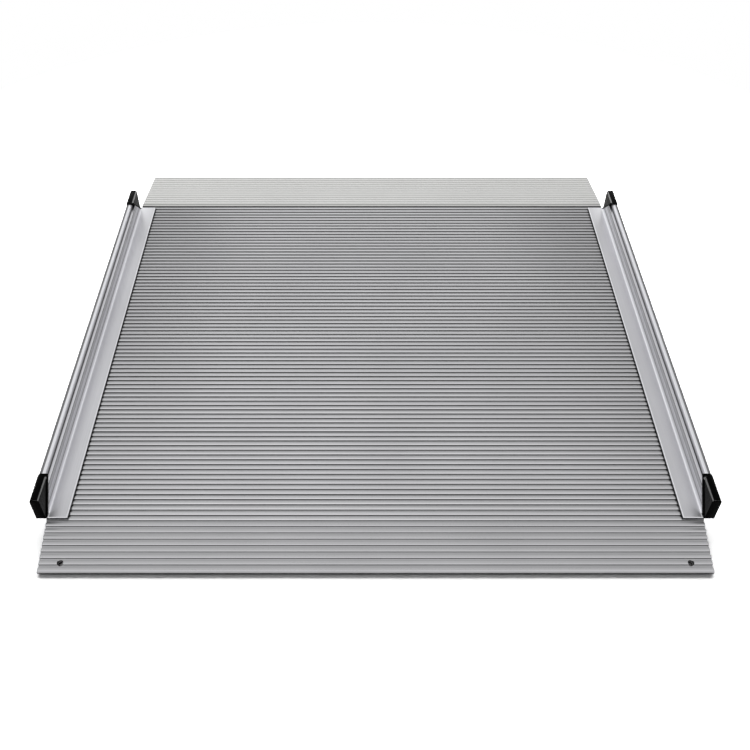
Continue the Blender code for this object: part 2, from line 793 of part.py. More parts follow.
def add_flap(parts, aluminium, rubber, steel):
    """The rear flap with its toe strip and its two end screws, all hung from its pivot."""
    pivot = bpy.data.objects.new("flap_pivot", None)
    pivot.location = Vector((0, PIVOT_Y, PIVOT_HEIGHT)) * MM
    parts.objects.link(pivot)
    flap_mesh = section_mesh("rear_flap", flap_section(), 2 * HALF_DECK)
    pieces = [across_ramp("rear_flap", flap_mesh, aluminium, parts, 0, 0)]

    strip_top = TOE_UNDERSIDE + TOE_RECESS_DEPTH - GAP
    strip = [
        (-TOE_STRIP_WIDTH, 0),
        (0, 0),
        (0, strip_top),
        (-TOE_STRIP_WIDTH, strip_top),
    ]
    strip_mesh = section_mesh("toe_strip", [strip], 2 * (HALF_DECK - STRIP_END_INSET))
    rear = FLAP_REACH - TOE_STRIP_INSET
    pieces.append(across_ramp("toe_strip", strip_mesh, rubber, parts, rear, -PIVOT_HEIGHT))

    profile = button_screw_profile(
        HINGE_SCREW_RADIUS, HINGE_SCREW_REACH, HINGE_SCREW_HEAD_RADIUS, HINGE_SCREW_HEAD_HEIGHT
    )
    screw_mesh = turned_mesh("hinge_screw", profile)
    for side, hand in ((-1, "left"), (1, "right")):
        location = (side * (HALF_DECK + GAP), 0, 0)
        turn = (0, side * math.pi / 2, 0)
        screw = place(f"hinge_screw_{hand}", screw_mesh, steel, parts, location, turn)
        spin(screw)
        pieces.append(screw)
    for piece in pieces:
        piece.parent = pivot


def add_rail(parts, cutters, aluminium, side, hand):
    """A kerb rail with its slanted ends, its shortened leg and the screw holes through the leg."""
    length = RAIL_REAR_Y - RAIL_FRONT_Y
    middle = (RAIL_REAR_Y + RAIL_FRONT_Y) / 2
    rail_mesh = section_mesh(f"{hand}_rail", rail_section(side), length)
    rail = along_ramp(f"{hand}_rail", rail_mesh, aluminium, parts, middle)

    kerb_cut = (HALF_CLEAR + GAP / 2, KERB_OUTER + CUT_MARGIN)
    fillet_cut = (HALF_CLEAR - KERB_FILLET - GAP, HALF_CLEAR + GAP)
    for end, y, inward in (("front", RAIL_FRONT_Y, 1), ("rear", RAIL_REAR_Y, -1)):
        for cut, outline, (inner, outer) in (
            ("kerb", kerb_cut_outline(), kerb_cut),
            ("fillet", fillet_cut_outline(), fillet_cut),
        ):
            cut_mesh = section_mesh(f"{hand}_{end}_{cut}_cut", [mirrored(outline, inward)], outer - inner)
            x = side * (inner + outer) / 2
            combine(rail, across_ramp(cut_mesh.name, cut_mesh, None, cutters, y, 0, x), "DIFFERENCE")

    holes = bmesh.new()
    for y in screw_places():
        centre = Vector((side * (LEG_INNER + LEG_OUTER) / 2, y, PORT_HEIGHT)) * MM
        bmesh.ops.create_cone(
            holes,
            cap_ends=True,
            segments=SCREW_STEPS,
            radius1=(SCREW_RADIUS + GAP) * MM,
            radius2=(SCREW_RADIUS + GAP) * MM,
            depth=(LEG_THICKNESS + 2 * GAP) * MM,
            matrix=Matrix.Translation(centre) @ Matrix.Rotation(math.pi / 2, 4, "Y"),
        )
    hole_mesh = bpy.data.meshes.new(f"{hand}_screw_holes")
    holes.to_mesh(hole_mesh)
    holes.free()
    combine(rail, place(hole_mesh.name, hole_mesh, None, cutters, (0, 0, 0), (0, 0, 0)), "DIFFERENCE")


def add_cap(parts, cutters, plastic, side, hand, end):
    """A wedge-shaped end cap: a square-ended block with a slanted back, and a plug in the rail's hollow.

    The block stands a little proud of the kerb outside and on top.
    """
    inward = 1 if end == "front" else -1
    rail_end = RAIL_FRONT_Y if end == "front" else RAIL_REAR_Y
    block = rounded([
        (HALF_CLEAR + GAP, RAIL_BASE + CAP_LIFT, 0),
        (KERB_OUTER + CAP_PROUD, RAIL_BASE + CAP_LIFT, 0),
        (KERB_OUTER + CAP_PROUD, RAIL_TOP + CAP_PROUD, CAP_ROUNDING),
        (HALF_CLEAR + GAP, RAIL_TOP + CAP_PROUD, CAP_ROUNDING),
    ])
    name = f"{end}_{hand}_cap"
    block_length = CAP_SETBACK + CUT_MARGIN
    block_mesh = section_mesh(name, [mirrored(block, side)], block_length)
    cap = along_ramp(name, block_mesh, plastic, parts, rail_end + inward * block_length / 2)

    cut_width = KERB_WIDTH + 2 * CUT_MARGIN
    cut_mesh = section_mesh(f"{name}_cut", [mirrored(cap_cut_outline(), inward)], cut_width)
    x = side * (HALF_CLEAR + KERB_WIDTH / 2)
    combine(cap, across_ramp(cut_mesh.name, cut_mesh, None, cutters, rail_end, 0, x), "DIFFERENCE")

    fit = KERB_WALL + GAP
    plug_top = DECK_TOP + LEDGE_HEIGHT - fit
    plug = [
        (HALF_CLEAR + fit, RAIL_BASE + fit),
        (KERB_OUTER - fit, RAIL_BASE + fit),
        (KERB_OUTER - fit, plug_top),
        (HALF_CLEAR + fit, plug_top),
    ]
    plug_end = CAP_SETBACK + CAP_PLUG_REACH
    plug_mesh = section_mesh(f"{name}_plug", [mirrored(plug, side)], plug_end - CAP_PLUG_START)
    y = rail_end + inward * (plug_end + CAP_PLUG_START) / 2
    combine(cap, along_ramp(plug_mesh.name, plug_mesh, None, cutters, y), "UNION")

    bevel = cap.modifiers.new("edges", "BEVEL")
    bevel.width = CAP_EDGE * MM
    bevel.segments = 2
    bevel.limit_method = "ANGLE"
    bevel.angle_limit = SMOOTH_ANGLE


def add_rail_screws(parts, steel, side, hand):
    """The screws that hold a rail's leg to the ends of the planks and the lip."""
    profile = button_screw_profile(SCREW_RADIUS, SCREW_REACH, SCREW_HEAD_RADIUS, SCREW_HEAD_HEIGHT)
    screw_mesh = turned_mesh("rail_screw", profile)
    for number, y in enumerate(screw_places(), start=1):
        location = (side * (LEG_OUTER + GAP), y, PORT_HEIGHT)
        turn = (0, side * math.pi / 2, 0)
        spin(place(f"rail_screw_{hand}_{number:02d}", screw_mesh, steel, parts, location, turn))


def build():
    """Make the whole ramp."""
    clear_scene()
    parts = new_collection("wheelchair_ramp")
    cutters = new_collection("cutters")
    deck_aluminium = new_material("deck_aluminium", (0.46, 0.46, 0.47), 0.42, 0.9)
    flap_aluminium = new_material("flap_aluminium", (0.60, 0.60, 0.60), 0.45, 0.9)
    rail_aluminium = new_material("rail_aluminium", (0.62, 0.62, 0.63), 0.34, 0.9)
    cap_plastic = new_material("cap_plastic", (0.012, 0.012, 0.013), 0.35, 0.0)
    rubber = new_material("rubber", (0.02, 0.02, 0.02), 0.8, 0.0)
    steel = new_material("screw_steel", (0.55, 0.55, 0.54), 0.3, 1.0)

    add_deck(parts, deck_aluminium)
    add_lip(parts, cutters, deck_aluminium)
    add_strips(parts, rubber)
    add_flap(parts, flap_aluminium, rubber, steel)
    for side, hand in ((-1, "left"), (1, "right")):
        add_rail(parts, cutters, rail_aluminium, side, hand)
        add_rail_screws(parts, steel, side, hand)
        for end in ("front", "rear"):
            add_cap(parts, cutters, cap_plastic, side, hand, end)


build()
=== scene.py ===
"""Looks of the wheelchair ramp: fine meshes, finishes, floor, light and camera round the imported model.

X runs across the ramp, Y from the lip to the flap and Z up, as in the frame. Sizes are in millimetres;
meshes are turned into metres as they are made.
"""

import json
import math
from collections import namedtuple
from functools import partialmethod

import bmesh
import bpy
from mathutils import Matrix, Vector
from mathutils.geometry import tessellate_polygon
from mathutils.kdtree import KDTree


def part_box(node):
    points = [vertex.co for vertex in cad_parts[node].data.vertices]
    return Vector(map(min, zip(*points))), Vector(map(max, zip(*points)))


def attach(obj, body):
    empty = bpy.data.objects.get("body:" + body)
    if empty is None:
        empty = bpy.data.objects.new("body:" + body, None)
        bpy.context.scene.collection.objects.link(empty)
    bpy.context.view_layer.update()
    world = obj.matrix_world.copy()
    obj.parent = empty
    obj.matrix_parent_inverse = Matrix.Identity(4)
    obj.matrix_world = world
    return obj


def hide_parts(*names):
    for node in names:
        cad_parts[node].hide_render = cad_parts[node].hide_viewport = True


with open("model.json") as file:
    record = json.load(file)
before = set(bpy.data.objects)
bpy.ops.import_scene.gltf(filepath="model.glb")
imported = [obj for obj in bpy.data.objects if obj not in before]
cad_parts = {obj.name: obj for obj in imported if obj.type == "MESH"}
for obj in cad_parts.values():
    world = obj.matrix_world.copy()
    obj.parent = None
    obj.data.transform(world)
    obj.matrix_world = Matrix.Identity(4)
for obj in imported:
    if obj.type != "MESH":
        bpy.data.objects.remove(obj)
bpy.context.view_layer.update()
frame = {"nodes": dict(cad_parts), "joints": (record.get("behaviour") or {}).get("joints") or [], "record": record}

MM = 0.001

# A point of a section: its place, how worn its edge is and how much painted highlight it takes, and its depth
# mark, which is how deep it lies in a groove or a made-up depth that calls for painted shade
Point = namedtuple("Point", "across up wear depth", defaults=(0.0, 0.0))

# An end of a rail: its side of the ramp (-1 left, 1 right), its place along it, and which way is inwards
RailEnd = namedtuple("RailEnd", "side place inward")

Screw = namedtuple("Screw", "head_radius head_height shank_radius reach")
# A metal: its grey, the grey of its worn edges with painted highlights, tint, roughness, streaks, how dark the
# painted shade in its grooves runs (partly real soiling), and whether it takes the deck's painted shadow and shade
Metal = namedtuple("Metal", "level worn_level tint roughness streaks grime trodden", defaults=(False,))

# Camera, found from the photograph's lines: place and clipping in metres, tilt in degrees
CAMERA_PLACE = (-0.01424, -0.99682, 0.91736)
CAMERA_BELOW_HORIZON = 45.3615
CAMERA_LENS = 42.57
CAMERA_SENSOR = 36.0
CAMERA_SHIFT = (0.01524, 0.0005)
CAMERA_CLIP = (0.05, 100.0)

# Ribbed extrusions
GAP = 0.3
RIB_PITCH = 8.0
RIB_DEPTH = 2.0
RIB_LEAN = 0.35
RIB_FRONT_EDGE = 0.6
RIB_REAR_EDGE = 0.45
RIB_CAMBER = 0.12
GROOVE_WIDTH = 3.0
GROOVE_ROUNDING = 0.3
UNSHADED_DEPTH = 0.15
LAND_STEPS = 5
LAND_HIGHLIGHT_AND_WEAR = 0.6
REAR_EDGE_HIGHLIGHT = 0.2
DECK_PLANKS = 5
PLANK_RIBS = 13
TOP_WALL = 2.5
WALL = 2.2
WEB = 2.0
BAY_ROUNDING = 0.8
END_CHAMFER = 0.25
TONGUE_REACH = 5.0
TONGUE_THICKNESS = 4.0
TONGUE_HEIGHT = 11.5
PORT_HEIGHT = 11.2
PORT_RADIUS = 2.3
PORT_BOSS_RADIUS = 4.2

# Rubber strips and their slots; the half widths of a groove in the sole are shares of the grooves' pitch
SLOT_MOUTH = 8.0
SLOT_WIDTH = 14.0
SLOT_LEDGE = 2.0
SLOT_DEPTH = 2.4
STRIP_WIDTH = 16.0
STRIP_EDGE = 0.4
SOLE_GROOVES = 5
SOLE_GROOVE_DEPTH = 0.5
SOLE_GROOVE_TOP = 0.3
SOLE_GROOVE_FLOOR = 0.1

# Front lip
LIP_LEVEL_RIBS = 5
LIP_SLOPING_RIBS = 8
NOSE_TOP = 5.5
NOSE_UNDERSIDE = 1.2
NOSE_TOP_ROUNDING = 0.7
NOSE_LOW_ROUNDING = 0.9
NOSE_SLOT_INSET = 26.0
NOSE_FLAT = 36.0
NOSE_RISE = 6.0
LIP_HIGHLIGHT_AND_WEAR = 0.4
LIP_PORT_INSET = 14.0
FIXING_SIDE_INSET = 26.0
FIXING_EDGE_INSET = 12.0
FIXING_HOLE_RADIUS = 2.6
COUNTERSINK_RADIUS = 3.6
COUNTERSINK_EDGE = 0.12

# Rear flap and its hinge
LIFT_ANGLE = math.radians(30)
BEAD_RADIUS = 4.0
BEAD_BORE_RADIUS = 1.8
HINGE_CLEARANCE = 0.3
SOCKET_WALL = 1.8
NECK = 2.6
FLAP_CORNER_BEHIND_PIVOT = 3.4
FLAP_TOP_AT_HINGE = 20.8
SHADE_START = 0.05
PAINTED_SHADE_DEPTH = 4.0
FLAP_PLAIN = 8.3
FLAP_RIBS = 13
FLAP_RIB_PITCH = 8.9
FLAP_TOE_LAND = 5.5
FLAP_RIB_DEPTH = 1.0
FLAP_GROOVE_WIDTH = 1.8
FLAP_WALL = 1.8
FLAP_BAYS = 3
TOE_TOP = 2.6
TOE_UNDERSIDE = 0.8
TOE_FLAT = 38.0
TOE_ROUNDING = 0.6
TOE_STRIP_INSET = 18.0
TOE_STRIP_WIDTH = 12.0
TOE_RECESS_DEPTH = 0.6

# Kerb rails
FLANGE_WIDTH = 24.0
FLANGE_THICKNESS = 3.3
FLANGE_EDGE = 1.0
FLANGE_HIGHLIGHT_WIDTH = 0.5
FLANGE_HIGHLIGHT_BY_KERB = 0.8
FLANGE_END_FACING = 0.2
UNDERCUT_HEIGHT = 1.3
UNDERCUT_REACH = 2.5
UNDERCUT_SLANT = 0.4
UNDERCUT_ROUNDING = 0.3
FLANGE_REBATE = 1.5
KERB_WIDTH = 13.2
KERB_WALL = 2.2
KERB_FILLET = 1.8
FILLET_HIGHLIGHT = 0.8
LEDGE_HEIGHT = 30.0
LEDGE_WIDTH = 4.4
LEDGE_EDGE = 0.45
LEDGE_HIGHLIGHT = 0.3
LEDGE_GROOVE_WIDTH = 0.9
LEDGE_GROOVE_DEPTH = 1.0
HEAD_INNER_ROUNDING = 1.6
HEAD_OUTER_ROUNDING = 4.6
HEAD_HIGHLIGHT_WIDTH = 1.8
HEAD_HIGHLIGHT = 0.8
LINE_WIDTH = 2.6
LINE_DEPTH = 0.4
LINE_HEIGHTS = (10.2, 26.6)
LINE_SHADE = 0.35
FACE_SHADE = 0.11
BEAD_LOW = 18.0
BEAD_WIDTH = 2.4
BEAD_HEIGHT = 0.2
BEAD_HIGHLIGHT = 0.7
OUTER_DARK_REFLECTION = 0.42
LEG_THICKNESS = 2.5
LEG_SETBACK = 10.0
LEG_STUB = 0.5
LEG_EDGE = 0.45

# End caps
CAP_SETBACK = 40.0
CAP_FOOT = 2.0
CAP_ROUNDING = 4.4
CAP_INNER_ROUNDING = 1.6
CAP_BODY_ROUNDING = 3.4
CAP_EDGE = 1.1
CAP_INSET = 2.2
CAP_COLLAR = 4.3
CAP_SIDE_REFLECTION = 0.035
CAP_TOP_HIGHLIGHT = 0.3
CAP_EDGE_FACING = 0.6
CAP_SIDE_FACING = 0.99
CAP_PLUG_REACH = 6.0
CAP_PLUG_START = 3.0

# Screws
SCREWS = {
    "hinge_screw": Screw(head_radius=5.2, head_height=2.2, shank_radius=1.5, reach=14.0),
    "rail_screw": Screw(head_radius=4.3, head_height=2.4, shank_radius=2.0, reach=16.0),
}
SCREW_CLEARANCE_RADIUS = 2.3
HEAD_SHOULDER = 0.5
HEAD_RIM = 0.35
HEAD_SEAT_SHARE = 0.97
DOME_START = math.radians(8)
SOCKET_SIDES = 6
SOCKET_ACROSS = 2.5
SOCKET_DEPTH = 1.3

# Steps of the roundings
GROOVE_STEPS = 3
CAP_EDGE_STEPS = 3
EDGE_STEPS = 4
FINE_STEPS = 6
BODY_STEPS = 7
CURVE_STEPS = 8
HEAD_STEPS = 12
ROUND_STEPS = 48

CUT_MARGIN = 5.0
TANGENT_LIFT = 0.02
LEAST_MITRE = 0.5
MARK_STEP = 0.05
SMOOTH_ANGLE = math.radians(38)

# Noise: where most of its values lie, and its features in a metre, the same along each axis or one for each
NOISE_RANGE = (0.3, 0.7)
STREAKS_ACROSS = (5, 900, 900)
STREAKS_ALONG = (700, 5, 700)
PATCHES = 7
SPECKS = 350
METAL_GRAIN = 2600
PLASTIC_GRAIN = 1800
SCUFFS = (60, 240, 60)
RUBBER_GRAIN = 1500
DUST = (30, 90, 90)
CLOUDS = 400
TURNING_MARKS = (200, 200, 9000)

# Aluminium: grey levels from 0 to 1, and a tint that is bluer above zero
METALS = {
    "deck_aluminium": Metal(0.48, 0.89, 0.025, 0.30, STREAKS_ACROSS, grime=0.95, trodden=True),
    "flap_aluminium": Metal(0.64, 0.72, -0.015, 0.42, STREAKS_ACROSS, grime=0.35),
    "rail_aluminium": Metal(0.66, 0.88, 0.036, 0.36, STREAKS_ALONG, grime=0.9),
}
STREAK_CONTRAST = 0.06
PATCH_LEVEL = 0.88
ROUGHNESS_SPREAD = (-0.06, 0.08)
METAL_RELIEF = 0.012

# Plastic, rubber and steel: two grey levels each, the range of the roughness, and relief in millimetres
PLASTIC_GREYS = (0.0008, 0.004)
# The grey of the caps' rubbed edges is a painted highlight, partly real rubbing
RUBBED_HIGHLIGHT_GREY = 0.6
PLASTIC_SHINE = (0.02, 1.0)
PLASTIC_ROUGHNESS = (0.22, 0.36)
PLASTIC_RELIEF = 0.02
RUBBER_GREYS = (0.016, 0.045)
RUBBER_ROUGHNESS = (0.7, 0.9)
RUBBER_RELIEF = 0.04
STEEL_GREYS = (0.6, 0.48)
STEEL_TINTS = (0.01, 0.02)
STEEL_ROUGHNESS = (0.24, 0.38)
STEEL_RELIEF = 0.006

# Painted shade, partly real soiling, by the depth in a groove; painted shade and shadow by the place on the deck;
# a shade's pair is for its front and rear end
SHADE_AND_DIRT_COLOUR = 0.04
SHADE_AND_DIRT_ROUGHNESS = 0.75
SHADED_DEPTHS = (0.05, 0.5)
GROOVE_FLOOR_DEPTHS = (1.5, 1.8)
PAINTED_SHADE_DEPTHS = (2.5, 3.5)
GROOVE_FLOOR_SHADE = 0.12
BORE_SHADE = 0.3
MASK_EDGE = 0.3
FLANGE_SHADOW_FADE = 1.7
FLANGE_SHADOW_DROP = 2.0
MIDDLE_SHADE = (0.0, 0.08)
SIDE_SHADE = (0.04, 0.28)
SIDE_SHADE_FROM = 180.0

# Floor: grey levels, and sizes in metres, but for its drop in millimetres
FLOOR_SIZE = 30.0
FLOOR_DROP = 0.1
FLOOR_COLOUR = 0.7
FLOOR_REFLECTED_COLOUR = 0.8
FLOOR_SEEN_COLOUR = 1.95
FLOOR_SHADOW_REACH = 0.8
FLOOR_WHITE_FROM = 1.1

# Brightness of the studio by the height of a direction, behind the ramp and in front of it
SKY_BEHIND = ((0.0, 0.6), (0.04, 0.7), (0.12, 1.2), (0.3, 1.5), (0.5, 0.9), (0.85, 0.9), (1.0, 0.86))
SKY_IN_FRONT = ((0.0, 0.65), (0.3, 0.85), (0.6, 1.3), (0.8, 1.3), (1.0, 0.86))
SKY_BRIGHTEST = 1.5
SKY_FILL = 0.06

# Parts of a direction between which the studio turns from front to rear, dims to the right, and is overhead
SKY_TURN = (-0.2, 0.2)
SKY_TO_RIGHT = (0.0, 0.35)
SKY_OVERHEAD = (0.8, 0.97)
SKY_RIGHT_LEVEL = 0.84

# Lamp: metres and watts
KEY_PLACE = (0.0, 2.6, 1.95)
KEY_AIM = (0.0, -0.4, 0.0)
KEY_SIZE = (8.0, 3.6)
KEY_POWER = 380.0


def box_mm(node):
    """The lowest and highest corner of a node, in millimetres."""
    low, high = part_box(node)
    return low / MM, high / MM


# Places read from the frame
LIP_LOW, LIP_HIGH = box_mm("front_lip")
PLANK_LOW, PLANK_HIGH = box_mm("deck_plank_1")
FLAP_LOW, FLAP_HIGH = box_mm("rear_flap")
RAIL_LOW, RAIL_HIGH = box_mm("right_rail")
CAP_LOW, CAP_HIGH = box_mm("front_right_cap")
HINGE = Vector(frame["joints"][0]["pos_m"]) / MM
PIVOT = (HINGE.y, HINGE.z)
BODY_OF = {
    node: body
    for body, nodes in frame["record"]["behaviour"]["bodies"].items()
    for node in nodes
}
SLOT_OF = {part["node"]: part["material_slot"] for part in frame["record"]["subparts"]}

# Places worked out from them
HALF_DECK = LIP_HIGH.x
DECK_TOP = PLANK_HIGH.z
DECK_UNDERSIDE = PLANK_LOW.z
PLANK_LENGTH = PLANK_RIBS * RIB_PITCH
FIRST_SEAM = LIP_HIGH.y - TONGUE_REACH
BEND = FIRST_SEAM - LIP_LEVEL_RIBS * RIB_PITCH
LIP_SLOPING = LIP_SLOPING_RIBS * RIB_PITCH
LIP_SLOPE = math.asin((DECK_TOP - NOSE_TOP) / LIP_SLOPING)
BAY_FLOOR = DECK_UNDERSIDE + WALL
BAY_TOP = DECK_TOP - RIB_DEPTH - TOP_WALL
FLAP_LENGTH = FLAP_PLAIN + (FLAP_RIBS - 1) * FLAP_RIB_PITCH + FLAP_TOE_LAND
FLAP_SLOPE = math.asin((FLAP_TOP_AT_HINGE - TOE_TOP) / FLAP_LENGTH)
SOCKET_RADIUS = BEAD_RADIUS + HINGE_CLEARANCE
SOCKET_OUTER_RADIUS = SOCKET_RADIUS + SOCKET_WALL
FLAP_HOLLOW_RADIUS = SOCKET_OUTER_RADIUS + HINGE_CLEARANCE
KERB_OUTER = RAIL_HIGH.x
HALF_CLEAR = KERB_OUTER - KERB_WIDTH
FLANGE_INNER = HALF_CLEAR - FLANGE_WIDTH
RAIL_FRONT = RAIL_LOW.y
RAIL_REAR = RAIL_HIGH.y
RAIL_BASE = DECK_TOP + GAP
FLANGE_TOP = RAIL_BASE + FLANGE_THICKNESS
LEDGE = DECK_TOP + LEDGE_HEIGHT
RAIL_TOP = RAIL_HIGH.z
LEG_FOOT = RAIL_LOW.z
LEG_INNER = HALF_DECK + GAP
LEG_OUTER = LEG_INNER + LEG_THICKNESS
CAP_BODY_INNER = HALF_CLEAR + CAP_INSET


# Outlines

def arc(centre, radius, start, end, steps, wear=0.0, depth=0.0):
    """Points of an arc about a centre, from one angle to another, both ends included."""
    points = []
    for step in range(steps + 1):
        angle = start + (end - start) * step / steps
        across = centre[0] + radius * math.cos(angle)
        up = centre[1] + radius * math.sin(angle)
        points.append(Point(across, up, wear, depth))
    return points


def circle(centre, radius):
    """A closed ring of points."""
    return arc(centre, radius, 0, math.tau, ROUND_STEPS)[:-1]


def corner(across, up, radius=0.0, wear=0.0, depth=0.0, steps=EDGE_STEPS):
    """A corner of an outline that rounded() turns into an arc."""
    return (Point(across, up, wear, depth), radius, steps)


def rounded(corners):
    """A closed outline from corners, each turned into an arc of its radius."""
    points = []
    for number, (point, radius, steps) in enumerate(corners):
        if radius == 0:
            points.append(point)
            continue
        place = Vector(point[:2])
        to_last = (Vector(corners[number - 1][0][:2]) - place).normalized()
        to_next = (Vector(corners[(number + 1) % len(corners)][0][:2]) - place).normalized()
        half_angle = to_last.angle(to_next) / 2
        centre = place + (to_last + to_next).normalized() * radius / math.sin(half_angle)
        first = place + to_last * radius / math.tan(half_angle) - centre
        last = place + to_next * radius / math.tan(half_angle) - centre
        start = math.atan2(first.y, first.x)
        turn = (math.atan2(last.y, last.x) - start + math.pi) % math.tau - math.pi
        points += arc(centre, radius, start, start + turn, steps, point.wear, point.depth)
    return points


def evenly_rounded(places, radius):
    """A closed outline from places, with its corners rounded alike."""
    return rounded([corner(*place, radius) for place in places])


def moved(points, across, up):
    """A section's points, shifted."""
    return [point._replace(across=point.across + across, up=point.up + up) for point in points]


def turned(points, centre, angle):
    """A section's points, turned about a centre."""
    cos, sin = math.cos(angle), math.sin(angle)
    result = []
    for point in points:
        across = point.across - centre[0]
        up = point.up - centre[1]
        result.append(point._replace(
            across=centre[0] + across * cos - up * sin,
            up=centre[1] + across * sin + up * cos,
        ))
    return result


def mirrored(points, side):
    """A section drawn for the right-hand side, as it lies on either side."""
    return [point._replace(across=point.across * side) for point in points]


def inset(points, amount):
    """A closed outline drawn in by a small amount, whichever way round it runs."""
    area = sum(
        points[number - 1].across * point.up - point.across * points[number - 1].up
        for number, point in enumerate(points)
    )
    hand = 1 if area > 0 else -1
    result = []
    for number, point in enumerate(points):
        place = Vector(point[:2])
        before = (place - Vector(points[number - 1][:2])).normalized()
        after = (Vector(points[(number + 1) % len(points)][:2]) - place).normalized()
        normal = Vector((-before.y - after.y, before.x + after.x)) * hand
        reach = max(1 + before.dot(after), LEAST_MITRE)
        result.append(point._replace(
            across=point.across + normal.x * amount / reach,
            up=point.up + normal.y * amount / reach,
        ))
    return result


# Meshes and objects

def new_work():
    """A mesh in the making, whose points carry how worn they are with how much painted highlight, and their depth
    mark, which also calls for painted shade.
    """
    work = bmesh.new()
    for mark in ("wear", "depth"):
        work.verts.layers.float.new(mark)
    return work


def add_vert(work, place, wear, depth):
    """A point of a mesh in the making, from its place in millimetres and its marks."""
    vert = work.verts.new(Vector(place) * MM)
    vert[work.verts.layers.float["wear"]] = wear
    vert[work.verts.layers.float["depth"]] = depth
    return vert


def finished_mesh(work, name):
    """The mesh of a finished work, with its faces turned outwards."""
    bmesh.ops.recalc_face_normals(work, faces=work.faces)
    mesh = bpy.data.meshes.new(name)
    work.to_mesh(mesh)
    work.free()
    return mesh


def close_end(work, verts, loops):
    """Fill the end of an extruded section with triangles, round its hollows."""
    flat = [[Vector((point.across, point.up, 0)) for point in loop] for loop in loops]
    faces = [work.faces.new([verts[index] for index in corners]) for corners in tessellate_polygon(flat)]
    end = set(faces)
    inner_edges = (edge for face in faces for edge in face.edges if end.issuperset(edge.link_faces))
    bmesh.ops.beautify_fill(work, faces=faces, edges=list(dict.fromkeys(inner_edges)))


def extruded(name, outlines, start, end, along="X", chamfer=END_CHAMFER):
    """An object with an extruded section: its outside and hollows, between two places on an axis.

    The section's own axes are Y and Z where it runs along X, and X and Z where it runs along Y. The
    outer edges of both ends are broken by a small chamfer.
    """
    stations = [(start + chamfer, outlines), (end - chamfer, outlines)]
    if chamfer > 0:
        drawn_in = [inset(outlines[0], chamfer)] + outlines[1:]
        stations = [(start, drawn_in)] + stations + [(end, drawn_in)]
    work = new_work()
    rings = []
    for place, loops in stations:
        ring_set = []
        for loop in loops:
            ring = []
            for point in loop:
                spot = (place, point.across, point.up) if along == "X" else (point.across, place, point.up)
                ring.append(add_vert(work, spot, point.wear, point.depth))
            ring_set.append(ring)
        rings.append(ring_set)
    for near, far in zip(rings, rings[1:]):
        for near_ring, far_ring in zip(near, far):
            for number in range(len(near_ring)):
                last = number - 1
                work.faces.new((near_ring[last], near_ring[number], far_ring[number], far_ring[last]))
    for ring_set, (_, loops) in ((rings[0], stations[0]), (rings[-1], stations[-1])):
        close_end(work, [vert for ring in ring_set for vert in ring], loops)
    return add_object(name, finished_mesh(work, name))


def spun(name, profile):
    """Mesh of a piece turned about Z, from a (radius, height, depth) profile with both ends on the axis."""
    work = new_work()
    rings = []
    for radius, height, depth in profile:
        ring = []
        for number in range(1 if radius == 0 else ROUND_STEPS):
            angle = math.tau * number / ROUND_STEPS
            place = (radius * math.cos(angle), radius * math.sin(angle), height)
            ring.append(add_vert(work, place, 0.0, depth))
        rings.append(ring)
    for upper, lower in zip(rings, rings[1:]):
        for number in range(ROUND_STEPS):
            corners = [
                upper[(number - 1) % len(upper)], upper[number % len(upper)],
                lower[number % len(lower)], lower[(number - 1) % len(lower)],
            ]
            work.faces.new(list(dict.fromkeys(corners)))
    return finished_mesh(work, name)


def add_object(name, mesh, location=(0, 0, 0), rotation=(0, 0, 0)):
    """An object in the scene, with its location in millimetres."""
    new_object = bpy.data.objects.new(name, mesh)
    new_object.location = Vector(location) * MM
    new_object.rotation_euler = rotation
    bpy.context.scene.collection.objects.link(new_object)
    return new_object


def apply_modifiers(target):
    """Turn an object's modifiers into its mesh."""
    evaluated = target.evaluated_get(bpy.context.evaluated_depsgraph_get())
    mesh = bpy.data.meshes.new_from_object(evaluated)
    target.modifiers.clear()
    target.data = mesh


def combine(target, cutters, operation="DIFFERENCE"):
    """Cut objects out of another one, or join or cross them with it, and remove them."""
    for cutter in cutters:
        modifier = target.modifiers.new(cutter.name, "BOOLEAN")
        modifier.operation = operation
        modifier.object = cutter
    apply_modifiers(target)
    for cutter in cutters:
        bpy.data.objects.remove(cutter)


def soften(target, width, segments):
    """Break an object's sharp edges."""
    bevel = target.modifiers.new("edges", "BEVEL")
    bevel.width = width * MM
    bevel.segments = segments
    bevel.limit_method = "ANGLE"
    bevel.angle_limit = SMOOTH_ANGLE
    bevel.miter_outer = "MITER_ARC"
    apply_modifiers(target)


def restore_marks(target, section, along):
    """Give a cut extrusion's points back the marks of the section's edges that they lie on: how worn and painted
    bright they are, and their depth mark for painted shade.
    """
    marks = []
    for loop in section:
        for number, point in enumerate(loop):
            last = loop[number - 1]
            steps = math.ceil(math.dist(last[:2], point[:2]) / MARK_STEP)
            for step in range(steps):
                share = (step + 1) / steps
                marks.append(Point(*(start + (end - start) * share for start, end in zip(last, point))))
    tree = KDTree(len(marks))
    for number, point in enumerate(marks):
        tree.insert((point.across, point.up, 0), number)
    tree.balance()
    wear = target.data.attributes["wear"].data
    depth = target.data.attributes["depth"].data
    for vert in target.data.vertices:
        across = vert.co.y if along == "X" else vert.co.x
        _, number, distance = tree.find((across / MM, vert.co.z / MM, 0))
        if distance < MARK_STEP:
            wear[vert.index].value = marks[number].wear
            depth[vert.index].value = marks[number].depth


def mark_worn_and_highlight(target, amount, belongs):
    """Set the worn-and-painted-highlight mark of the points of some faces: those whose centre and normal pass a
    test.
    """
    wear = target.data.attributes["wear"].data
    for face in target.data.polygons:
        if belongs(face.center / MM, face.normal):
            for index in face.vertices:
                wear[index].value = amount


def finish(piece, node, materials):
    """Shade a piece, and put it in the place of the CAD node that it stands for."""
    piece.data.shade_smooth()
    piece.data.set_sharp_from_angle(angle=SMOOTH_ANGLE)
    piece.data.materials.clear()
    piece.data.materials.append(materials[SLOT_OF[node]])
    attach(piece, BODY_OF[node])
    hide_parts(node)


# Sections of the extrusions

